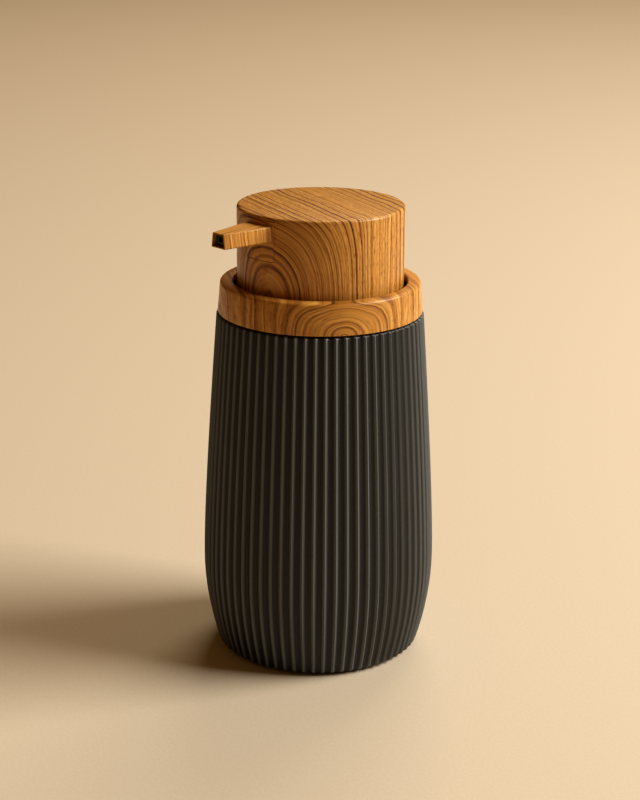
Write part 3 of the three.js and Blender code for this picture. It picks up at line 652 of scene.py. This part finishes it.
section = [
    (TUBE_BORE, tube_low[2]),
    (tube_radius, tube_low[2]),
    (tube_radius, tube_high[2]),
    (TUBE_BORE, tube_high[2]),
]
dip_tube = turned("tube", section, steps=48)
bpy.ops.object.mode_set(mode="EDIT")
bpy.ops.mesh.select_all(action="SELECT")
slant = (0, -math.sin(TUBE_SLANT), math.cos(TUBE_SLANT))
bpy.ops.mesh.bisect(
    plane_co=(0, 0, tube_low[2] + tube_radius * math.tan(TUBE_SLANT)), plane_no=slant,
    clear_inner=True, use_fill=True,
)
finish_mesh(dip_tube)
place_piece(dip_tube, natural_plastic, "pump_engine", "natural_plastic", "dip_tube")

# ---------------------------------------------------------------- valves and return spring
# Two stainless balls, the perforated cage over the lower one, and a spring coiled from 0.9 mm
# stainless wire with a closed turn at each end.
WIRE = 0.9 * MM
SPRING_TURNS = 8
STEEL = ((0.50, 0.50, 0.50, 1), (0.62, 0.61, 0.60, 1))

steel = moulded("stainless", STEEL, (0.16, 0.28), cloud=400, grain=2600, relief=0.05, Metallic=1.0)


def coil(low, turns, pitch, middle):
    """Turns of round wire, rising from a level."""
    deselect()
    bpy.ops.mesh.primitive_circle_add(
        vertices=10, radius=WIRE / 2, location=(middle, 0, low), rotation=(math.pi / 2, 0, 0)
    )
    piece = bpy.context.object
    bpy.ops.object.transform_apply(location=True, rotation=True)
    modifier = piece.modifiers.new("coil", "SCREW")
    modifier.steps = 32
    modifier.render_steps = 32
    modifier.iterations = turns
    modifier.screw_offset = pitch
    modifier.use_merge_vertices = False
    bpy.ops.object.modifier_apply(modifier="coil")
    return piece


def join(first, *others):
    """Joins pieces into the first one."""
    deselect()
    for piece in (first, *others):
        piece.select_set(True)
    bpy.context.view_layer.objects.active = first
    bpy.ops.object.join()
    return first


spring_low, spring_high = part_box("return_spring")
wire_middle = spring_high[0] - WIRE / 2
wire_low = spring_low[2] + WIRE / 2
wire_high = spring_high[2] - WIRE / 2
open_pitch = (wire_high - wire_low - 2 * WIRE) / (SPRING_TURNS - 2)
spring = join(
    coil(wire_low, 1, WIRE, wire_middle),
    coil(wire_low + WIRE, SPRING_TURNS - 2, open_pitch, wire_middle),
    coil(wire_high - WIRE, 1, WIRE, wire_middle),
)
spring.name = "spring"
bpy.ops.object.mode_set(mode="EDIT")
bpy.ops.mesh.select_all(action="SELECT")
bpy.ops.mesh.remove_doubles(threshold=1e-6)
bpy.ops.mesh.select_all(action="DESELECT")
bpy.ops.mesh.select_mode(type="EDGE")
bpy.ops.mesh.select_non_manifold()
bpy.ops.mesh.edge_face_add()
finish_mesh(spring, crease=60)
place_piece(spring, steel, "pump_engine", "steel", "return_spring")
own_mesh(spring)

for node in ("inlet_ball", "outlet_ball"):
    dress(node, steel)
dress("ball_retainer", natural_plastic)

# ---------------------------------------------------------------- piston, stem, chaplet and wiper
# A soft white piston with two lips snaps on the stem's spigot. The stem is natural polypropylene, the
# black chaplet guides it at the barrel's mouth, and a rubber wiper ring in the chaplet keeps it clean.
SPIGOT_RADIUS = 3.3 * MM
STEM_RADIUS = 4.2 * MM
PISTON_WAIST = 0.9 * MM
PISTON_LIP = 1.6 * MM
LIP_LEAD = 0.3 * MM
STEM_BORE = 2.3 * MM
STEM_STOP = 1.3 * MM
SEAT_THICKNESS = 1.4 * MM
SEAT_TAPER = 0.8 * MM
CHAPLET_FLANGE = 1.2 * MM
CHAPLET_SLEEVE = 6.6 * MM
GUIDE_WALL = 1.1 * MM
GUIDE_DRAFT = 0.3 * MM

piston_low, piston_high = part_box("piston")
lip = piston_high[0]
piston = turned(
    "piston_body",
    [
        (SPIGOT_RADIUS + RUN, piston_low[2]),
        (lip - 2 * LIP_LEAD, piston_low[2]),
        (lip, piston_low[2] + LIP_LEAD, RUN),
        (lip - PISTON_WAIST, piston_low[2] + PISTON_LIP, 2 * LIP_LEAD),
        (lip - PISTON_WAIST, piston_high[2] - PISTON_LIP, 2 * LIP_LEAD),
        (lip, piston_high[2] - LIP_LEAD, RUN),
        (lip - 2 * LIP_LEAD, piston_high[2]),
        (SPIGOT_RADIUS + RUN, piston_high[2]),
    ],
    steps=72,
)
place_piece(piston, white_seal, "plunger", "white_seal", "piston")

stem_low, stem_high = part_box("stem")
stop_radius = stem_high[0]
stop_low = piston_high[2] + SEAT
stop_high = stop_low + STEM_STOP
outlet_seat = stem_high[2] - (barrel_floor - seat_z)
stem = turned(
    "stem_body",
    [
        (BALL_SEAT, stem_low[2]),
        (SPIGOT_RADIUS, stem_low[2], SMALL_EDGE),
        (SPIGOT_RADIUS, stop_low),
        (stop_radius, stop_low, SMALL_EDGE),
        (stop_radius, stop_high, SMALL_EDGE),
        (STEM_RADIUS, stop_high),
        (STEM_RADIUS, stem_high[2], SMALL_EDGE),
        (pocket_radius, stem_high[2]),
        (pocket_radius, outlet_seat + (pocket_radius - BALL_SEAT) / 2),
        (BALL_SEAT, outlet_seat),
        (BALL_SEAT, outlet_seat - SEAT_THICKNESS),
        (STEM_BORE, outlet_seat - SEAT_THICKNESS - SEAT_TAPER),
        (STEM_BORE, stop_high),
        (BALL_SEAT, stop_low),
    ],
    steps=72,
)
place_piece(stem, natural_plastic, "head", "natural_plastic", "stem")

chaplet_low, chaplet_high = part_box("chaplet")
wiper_low, wiper_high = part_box("stem_wiper")
guide_bore = STEM_RADIUS + RUN
wiper_pocket = wiper_high[0] + RUN
flange_low = chaplet_low[2] + CHAPLET_SLEEVE
chaplet = turned(
    "chaplet_body",
    [
        (guide_bore, chaplet_low[2]),
        (barrel_bore - RUN, chaplet_low[2], SMALL_EDGE),
        (barrel_bore - RUN, flange_low),
        (chaplet_high[0], flange_low, SMALL_EDGE),
        (chaplet_high[0], flange_low + CHAPLET_FLANGE, SMALL_EDGE),
        (wiper_pocket + GUIDE_WALL + GUIDE_DRAFT, flange_low + CHAPLET_FLANGE),
        (wiper_pocket + GUIDE_WALL, chaplet_high[2], SMALL_EDGE),
        (wiper_pocket, chaplet_high[2]),
        (wiper_pocket, wiper_low[2] - RUN),
        (guide_bore, wiper_low[2] - RUN),
    ],
    steps=96,
)
place_piece(chaplet, black_plastic, "pump_engine", "black_plastic", "chaplet")


def seal_ring(name, middle, level, radius):
    """A ring of round section about the pump's axis."""
    sides = 14
    turns = [2 * math.pi * i / sides for i in range(sides)]
    return turned(
        name, [(middle + radius * math.cos(t), level + radius * math.sin(t)) for t in turns], steps=72
    )


wiper_radius = (wiper_high[2] - wiper_low[2]) / 2
wiper_level = (wiper_high[2] + wiper_low[2]) / 2
wiper = seal_ring("wiper", wiper_high[0] - wiper_radius, wiper_level, wiper_radius)
place_piece(wiper, rubber, "pump_engine", "black_rubber", "stem_wiper")

# ---------------------------------------------------------------- screw cap, well cup and rim gasket
# The black cap screws on the neck. The cup welded round it forms the well that the head sinks into,
# and a rubber ring under the collar rests on the vessel's rim.
WELL_WALL = 1.6 * MM
WEB = 1.6 * MM
CUP_SLEEVE = 1.2 * MM
CUP_SLEEVE_HEIGHT = 3 * MM
GASKET_WIDTH = 1.4 * MM

dress("screw_cap", black_plastic)
cup_low, cup_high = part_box("well_cup")
sleeve_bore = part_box("screw_cap")[1][0] + FIT
well_floor = cup_low[2] + WEB
cup = turned(
    "cup",
    [
        (sleeve_bore, cup_low[2]),
        (cup_high[0], cup_low[2], 2 * SMALL_EDGE),
        (cup_high[0], cup_high[2], SMALL_EDGE),
        (cup_high[0] - WELL_WALL, cup_high[2], SMALL_EDGE),
        (cup_high[0] - WELL_WALL, well_floor, 2 * SMALL_EDGE),
        (sleeve_bore + CUP_SLEEVE, well_floor, SMALL_EDGE),
        (sleeve_bore + CUP_SLEEVE, well_floor + CUP_SLEEVE_HEIGHT, SMALL_EDGE),
        (sleeve_bore, well_floor + CUP_SLEEVE_HEIGHT),
    ],
)
place_piece(cup, black_plastic, "closure", "black_plastic", "well_cup")

rim_gasket = washer("rim_gasket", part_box("rim_gasket")[1][0] - GASKET_WIDTH, 2 * GASKET_EDGE)
place_piece(rim_gasket, rubber, "closure", "black_rubber", "rim_gasket")

# ---------------------------------------------------------------- collar ring
# The ring that trims the closure: a short skirt and a flat top, with a printed wood grain and satin
# lacquer. It is pressed over the cup's wall, and a groove underneath holds the rim gasket.
COLLAR_EDGE = 1.0 * MM
COLLAR_DRAFT = 0.9 * MM
COLLAR_LAND = 4.4 * MM
COLLAR_TOP = 2.2 * MM
COLLAR_GRAIN_TURN = math.radians(59)
COLLAR_ARCH_RISE = 1.45
COLLAR_ARCH_FADE = (6.0, 32.0)
COLLAR_LINES = 0.72
WOOD_PALE = (0.68, 0.36, 0.088, 1)
WOOD_MID = (0.43, 0.175, 0.026, 1)
WOOD_LINE = (0.10, 0.024, 0.002, 1)
FINE_PERIOD = 1.3
BROAD_PERIOD = 2.9
FINE_DARK = 0.55
BROAD_DARK = 1.10
PORE_DARK = 0.45
WANDER = 3.2
RIPPLE = 0.7
DRIFT = 4.0
FIBRE_STRETCH = 0.07


def along(place, angle):
    """Distance in a level direction, given by its turn from the spout's direction."""
    axes = place.node("ShaderNodeSeparateXYZ", {"Vector": place})
    return axes * math.sin(angle) - axes.out("Y") * math.cos(angle)


def rings(distance, period, edge, fade, faintest):
    """Growth rings: dark lines with a sharp edge on one side and a slow fade on the other, each with a
    depth of its own."""
    count = distance / period
    phase = count.math("FRACT", count)
    index = count.math("FLOOR", count)
    depth = index.node("ShaderNodeTexWhiteNoise", {"W": index}, noise_dimensions="1D")
    sharp = phase.step(0.0, edge, 1.0, 0.0)
    slow = phase.step(1.0 - fade, 1.0)
    return sharp.math("MAXIMUM", sharp, slow) * depth.step(0.0, 1.0, faintest, 1.0)


def wavy(distance, scale, detail=2.0):
    """Noise that changes with one distance only."""
    return distance.node(
        "ShaderNodeTexNoise", {"W": distance * scale, "Scale": 1.0, "Detail": detail}, noise_dimensions="1D"
    )


def wood(name, distance_of, run_of, strength_of):
    """Printed wood grain under satin lacquer. The functions give the distance across the grain's rings
    and the distance along them, in millimetres, and the lines' strength, from the place in millimetres."""
    material, place, wear = start_material(name, Specular_IOR_Level=0.35)
    place = place.node("ShaderNodeVectorMath", {0: place, 3: 1 / MM}, operation="SCALE")
    wander = place.scaled(1.0, 1.0, 0.45).noise(0.05, 1.0, 0.4)
    ripple = place.scaled(1.0, 1.0, 0.3).noise(0.28, 2.0, 0.5)
    distance = distance_of(place) + wander * WANDER + ripple * RIPPLE
    distance = distance + wavy(distance, 0.16) * DRIFT
    run = run_of(place) * FIBRE_STRETCH
    fibre = distance.node("ShaderNodeCombineXYZ", {"X": distance, "Y": run})
    streak = fibre.noise(2.2, 1.0, 0.5)
    pores = fibre.scaled(1.0, 2.4, 1.0).noise(2.6, 1.0, 0.5).step(0.54, 0.70)
    fine = rings(distance, FINE_PERIOD, 0.16, 0.45, 0.05)
    broad = rings(distance + 0.7, BROAD_PERIOD, 0.12, 0.34, 0.25)
    ground = (wavy(distance, 0.55, 3.0) * 0.7 + streak * 0.6 - 0.15).step(0.28, 0.72)
    dark = (fine * FINE_DARK + broad * BROAD_DARK + pores * PORE_DARK) * strength_of(place)
    grain = dark.node("ShaderNodeClamp", {"Value": dark})
    colour = grain.mix(ground.mix(WOOD_MID, WOOD_PALE), WOOD_LINE)
    relief = place.node(
        "ShaderNodeBump",
        {"Height": 1.0 - grain * 0.7 - streak * 0.3, "Strength": 0.25, "Distance": 0.00010},
    )
    wear(Base_Color=colour, Roughness=grain.step(0.0, 1.0, 0.34, 0.50), Normal=relief)
    return material


def collar_grain(place):
    """Rings round a point on the collar's lower edge, which turn into upright lines away from it."""
    sideways = along(place, COLLAR_GRAIN_TURN + math.pi / 2)
    height = place.node("ShaderNodeSeparateXYZ", {"Vector": place}).out("Z") - collar_low[2] / MM
    near = sideways.math("ABSOLUTE", sideways).step(*COLLAR_ARCH_FADE, 1.0, 0.0)
    rise = height * COLLAR_ARCH_RISE * near
    return (sideways * sideways + rise * rise) ** 0.5


def collar_run(place):
    height = place.node("ShaderNodeSeparateXYZ", {"Vector": place}).out("Z")
    return along(place, COLLAR_GRAIN_TURN + math.pi / 2) * 0.3 + height


def collar_strength(place):
    """The collar's lines are a little fainter all round, most of all inside its arch."""
    sideways = along(place, COLLAR_GRAIN_TURN + math.pi / 2)
    away = sideways.math("ABSOLUTE", sideways)
    return away.step(0.0, COLLAR_ARCH_FADE[1], COLLAR_LINES * 0.8, COLLAR_LINES)


collar_low, collar_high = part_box("collar_ring")
foot_radius = collar_high[0]
top_radius = foot_radius - COLLAR_DRAFT
well_radius = top_radius - COLLAR_LAND
bore = carrier_radius + 2 * FIT
gasket_middle = (bore + foot_radius) / 2
groove_in = gasket_middle - GASKET_WIDTH / 2 - RUN
groove_out = gasket_middle + GASKET_WIDTH / 2 + RUN
groove_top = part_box("rim_gasket")[1][2] + SEAT
collar = turned(
    "collar",
    [
        (bore, collar_low[2]),
        (groove_in, collar_low[2]),
        (groove_in, groove_top),
        (groove_out, groove_top),
        (groove_out, collar_low[2]),
        (foot_radius, collar_low[2], 0.3 * MM),
        (top_radius, collar_high[2], COLLAR_EDGE),
        (well_radius, collar_high[2], COLLAR_EDGE / 2),
        (well_radius, collar_high[2] - COLLAR_TOP),
        (bore, collar_high[2] - COLLAR_TOP),
    ],
)
collar_wood = wood("collar_wood", collar_grain, collar_run, collar_strength)
place_piece(collar, collar_wood, "closure", "wood_grain", "collar_ring")

# ---------------------------------------------------------------- actuator core and nozzle
# A black moulding welded under the head's top. It grips the stem and turns the soap into a nozzle
# tube, which a rubber ring seals and whose square mouth fills the spout.
dress("actuator_core", black_plastic)
dress("nozzle_tube", black_plastic)
nozzle_level = (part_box("nozzle_tube")[0][2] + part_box("nozzle_tube")[1][2]) / 2
seal_low, seal_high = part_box("nozzle_seal")
seal_section = (seal_high[1] - seal_low[1]) / 2
nozzle_seal = seal_ring("nozzle_ring", seal_high[0] - seal_section, 0, seal_section)
deselect()
nozzle_seal.select_set(True)
bpy.context.view_layer.objects.active = nozzle_seal
nozzle_seal.rotation_euler.x = math.pi / 2
nozzle_seal.location = (0, (seal_low[1] + seal_high[1]) / 2, nozzle_level)
bpy.ops.object.transform_apply(location=True, rotation=True)
place_piece(nozzle_seal, rubber, "head", "black_rubber", "nozzle_seal")

# ---------------------------------------------------------------- pump head
# A deep moulded cap, open below, with the same grain wrapped over its flat top and down its side. The
# spout's plate fills a notch in the side; the core is welded under the top, inside a locating ring.
HEAD_WALL = 2 * MM
HEAD_TOP = 2 * MM
HEAD_EDGE = 1 * MM
CORE_FLANGE = 1.3 * MM
LOCATING_RING = 1 * MM
HEAD_GRAIN_TURN = math.radians(-17)
ARCH_TURN = math.radians(17)
ARCH_FOOT = 132 * MM
ARCH_REACH = 26.0
ARCH_SHARPNESS = 4.0
ARCH_LINES = 0.62
ARCH_FACING = (0.45, 0.95)
ARCH_TOP = (3.0, 0.5)
PLATE_SIDE = 0.65 * MM
SPOUT_ROOT_HALF = 6.1 * MM
SPLIT = 0.15 * MM

head_low, head_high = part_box("head_shell")
head_radius = head_high[0]
ceiling_z = head_high[2] - HEAD_TOP
spout_low, spout_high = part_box("spout")
plate_top = spout_high[2]
plate_low = head_high[2] - 15 * MM
plate_turn = math.degrees(math.asin((SPOUT_ROOT_HALF + PLATE_SIDE) / head_radius))


def head_grain(place):
    """Straight lines over the top that go down the side, drawn out there into an arch near the spout."""
    height = place.node("ShaderNodeSeparateXYZ", {"Vector": place}).out("Z")
    up = (height - ARCH_FOOT / MM) / ((head_high[2] - ARCH_FOOT) / MM)
    facing = along(place, ARCH_TURN) / (head_radius / MM)
    facing = facing.math("MAXIMUM", facing, 0.0)
    arch = facing**ARCH_SHARPNESS * (1.0 - up * up)
    return along(place, HEAD_GRAIN_TURN) + arch * ARCH_REACH


def head_strength(place):
    """Full lines on the top and the far side, fainter ones in the arch near the spout."""
    facing = along(place, ARCH_TURN) / (head_radius / MM)
    height = place.node("ShaderNodeSeparateXYZ", {"Vector": place}).out("Z")
    below = height.step(*[head_high[2] / MM - depth for depth in ARCH_TOP], 1.0, 0.0)
    return 1.0 - facing.step(*ARCH_FACING) * below * (1.0 - ARCH_LINES)


def head_run(place):
    height = place.node("ShaderNodeSeparateXYZ", {"Vector": place}).out("Z")
    return along(place, HEAD_GRAIN_TURN + math.pi / 2) + height


def sector(name, inner, outer, low, high, half_turn):
    """A part of a ring centred on the spout's side."""
    corners = [(inner, low), (outer, low), (outer, high), (inner, high)]
    piece = turned(name, corners, 2 * half_turn)
    piece.rotation_euler.z = math.radians(-90 + half_turn)
    bpy.ops.object.transform_apply(rotation=True)
    return piece


inner_radius = head_radius - HEAD_WALL
ring_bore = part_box("actuator_core")[1][0] + FIT
head = turned(
    "head_cap",
    [
        (0, ceiling_z),
        (ring_bore, ceiling_z),
        (ring_bore, ceiling_z - CORE_FLANGE),
        (ring_bore + LOCATING_RING, ceiling_z - CORE_FLANGE),
        (ring_bore + LOCATING_RING, ceiling_z),
        (inner_radius, ceiling_z),
        (inner_radius, head_low[2], 0.4 * MM),
        (head_radius, head_low[2], 0.4 * MM),
        (head_radius, head_high[2], HEAD_EDGE),
        (0, head_high[2]),
    ],
)
notch = sector(
    "notch",
    inner_radius - 1 * MM,
    head_radius + 1 * MM,
    plate_low - SPLIT,
    plate_top + SPLIT,
    plate_turn + math.degrees(SPLIT / head_radius),
)
cut(head, notch)
head_wood = wood("head_wood", head_grain, head_run, head_strength)
place_piece(head, head_wood, "head", "wood_grain", "head_shell")

# ---------------------------------------------------------------- spout
# One moulding: the tapered spout, open at its end, the plate that closes the head's notch, and the
# catch behind it. The plate carries on the head's grain and the spout has its own.
PLATE_EDGE = 0.25 * MM
PLATE_PROUD = 0.12 * MM
SPOUT_EDGE = 0.35 * MM
SPOUT_FLARE = 0.6 * MM
SPOUT_TIP_HALF = 2.8 * MM
SPOUT_DEPTH = 5 * MM
SPOUT_BELOW_TOP = 2.9 * MM
SPOUT_DROP = 0.5 * MM
MOUTH_WALL = 0.4 * MM
MOUTH_DEPTH = 5 * MM
CATCH = 0.7 * MM
CATCH_LAP = 1.3 * MM
SPOUT_LINES = 1.15
SPOUT_SPREAD = 0.028
SPOUT_SIDE = (-0.35, -0.1)


def block(name, near, far):
    """A tapered block along the spout, pulled from a cube. Each end gives its distance from the axis,
    its lower and upper level, and its half width at the top and at the bottom."""
    deselect()
    bpy.ops.mesh.primitive_cube_add(size=2, location=(0, 0, 0))
    piece = bpy.context.object
    piece.name = name
    for side, (out, low, high, top, bottom) in ((1, near), (-1, far)):
        for level, half, z in ((1, top, high), (-1, bottom, low)):
            for hand in (1, -1):
                corner = Vector((hand, side, level))
                pick(piece, lambda v: (v.co - corner).length < 0.5)
                goal = Vector((hand * half, -out, z))
                bpy.ops.transform.translate(value=goal - corner)
    finish_mesh(piece)
    return piece


def soften(piece, test, width, segments=3):
    """Bevels the edges whose middle passes a test."""
    mesh = piece.data
    bpy.ops.object.mode_set(mode="OBJECT")
    for vertex in mesh.vertices:
        vertex.select = False
    for face in mesh.polygons:
        face.select = False
    for edge in mesh.edges:
        ends = [mesh.vertices[i].co for i in edge.vertices]
        edge.select = test(*ends)
    bpy.ops.object.mode_set(mode="EDIT")
    bpy.ops.mesh.select_mode(type="EDGE")
    bpy.ops.mesh.bevel(affect="EDGES", offset=width, segments=segments)
    bpy.ops.object.mode_set(mode="OBJECT")


def spout_grain():
    """Fine cross lines on the spout's sides and lines along its top and underside."""
    material, place, wear = start_material("spout_wood", Specular_IOR_Level=0.35)
    place = place.node("ShaderNodeVectorMath", {0: place, 3: 1 / MM}, operation="SCALE")
    axes = place.node("ShaderNodeSeparateXYZ", {"Vector": place})
    out = (0.0 - axes.out("Y") - inner_radius / MM) / ((tip_out - inner_radius) / MM)
    half = SPOUT_ROOT_HALF / MM - out * ((SPOUT_ROOT_HALF - SPOUT_TIP_HALF) / MM)
    flat = (axes.math("ABSOLUTE", axes) - half).step(*SPOUT_SIDE, 1.0, 0.0)
    lean = place.noise(0.2, 1.0) * 0.5
    cross = axes.out("Y") + axes.out("Z") * 0.06 + lean
    spread = (axes.out("Y") + head_radius / MM) * SPOUT_SPREAD + 1.0
    lengthwise = axes * spread + lean * 0.6 + axes.out("Y") * 0.03
    distance = lengthwise * flat + cross * (1.0 - flat)
    run = axes.out("Y") * flat + axes.out("Z") * (1.0 - flat)
    fibre = distance.node("ShaderNodeCombineXYZ", {"X": distance, "Y": run * 0.06, "Z": flat * 3.0})
    streak = fibre.noise(3.0, 3.0, 0.6)
    lines = rings(distance + wavy(distance, 0.8) * 0.8, SPOUT_LINES, 0.2, 0.45, 0.25)
    grain = lines * 0.62 + streak.step(0.5, 0.75) * 0.35
    colour = grain.mix(wavy(distance, 1.1, 3.0).step(0.3, 0.7).mix(WOOD_MID, WOOD_PALE), WOOD_LINE)
    wear(Base_Color=colour, Roughness=grain.step(0.0, 1.0, 0.32, 0.46))
    return material


tip_out = -spout_low[1]
top_z = head_high[2] - SPOUT_BELOW_TOP
bottom_z = top_z - SPOUT_DEPTH
flange_half = plate_turn + math.degrees(CATCH_LAP / inner_radius)
catch_outer = inner_radius - FIT
catch_top = ceiling_z - CORE_FLANGE

spout = block(
    "spout_body",
    (inner_radius, bottom_z, top_z, SPOUT_ROOT_HALF + FIT, SPOUT_ROOT_HALF + SPOUT_FLARE / 2),
    (tip_out, bottom_z - SPOUT_DROP, top_z - SPOUT_DROP, SPOUT_TIP_HALF, SPOUT_TIP_HALF + SPOUT_FLARE),
)
soften(spout, lambda a, b: abs(a.y - b.y) > SPOUT_DEPTH, SPOUT_EDGE)
mouth = block(
    "mouth",
    (
        tip_out - MOUTH_DEPTH,
        bottom_z - SPOUT_DROP + MOUTH_WALL,
        top_z - SPOUT_DROP - MOUTH_WALL,
        SPOUT_TIP_HALF - MOUTH_WALL,
        SPOUT_TIP_HALF + SPOUT_FLARE - MOUTH_WALL,
    ),
    (
        tip_out + MOUTH_DEPTH,
        bottom_z - SPOUT_DROP + MOUTH_WALL,
        top_z - SPOUT_DROP - MOUTH_WALL,
        SPOUT_TIP_HALF - MOUTH_WALL,
        SPOUT_TIP_HALF + SPOUT_FLARE - MOUTH_WALL,
    ),
)
nozzle_low, nozzle_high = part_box("nozzle_tube")
passage_end = (nozzle_low[2] - SEAT, nozzle_high[2] + SEAT, nozzle_high[0] + SEAT, nozzle_high[0] + SEAT)
passage = block("passage", (inner_radius - 5 * MM, *passage_end), (tip_out + MOUTH_DEPTH, *passage_end))
spout_wood = spout_grain()
spout.data.materials.append(spout_wood)
cut(spout, mouth)

plate = sector(
    "plate", inner_radius + RUN, head_radius + PLATE_PROUD, plate_low, plate_top, plate_turn
)
plate_half = (head_radius + PLATE_PROUD) * math.sin(math.radians(plate_turn))


def on_plate_edge(a, b):
    """True for an edge of the plate's outer face that isn't one of the upright lines across it."""
    outside = min(math.hypot(a.x, a.y), math.hypot(b.x, b.y)) > head_radius - RUN
    across = abs(a.z - b.z) > RUN and abs(a.x) < plate_half - RUN
    return outside and not across


soften(plate, on_plate_edge, PLATE_EDGE, 2)
catch = sector(
    "catch", catch_outer - CATCH, catch_outer, plate_low - CATCH_LAP, catch_top, flange_half
)
rib = sector("rib", catch_outer - CATCH / 2, inner_radius + 2 * RUN, plate_low, catch_top, plate_turn)
for piece in (plate, catch, rib):
    piece.data.materials.append(head_wood)
cut(plate, rib, "UNION")
cut(plate, catch, "UNION")
cut(plate, spout, "UNION")
cut(plate, passage)
plate.name = "spout_moulding"
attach(plate, "head")
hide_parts("spout")
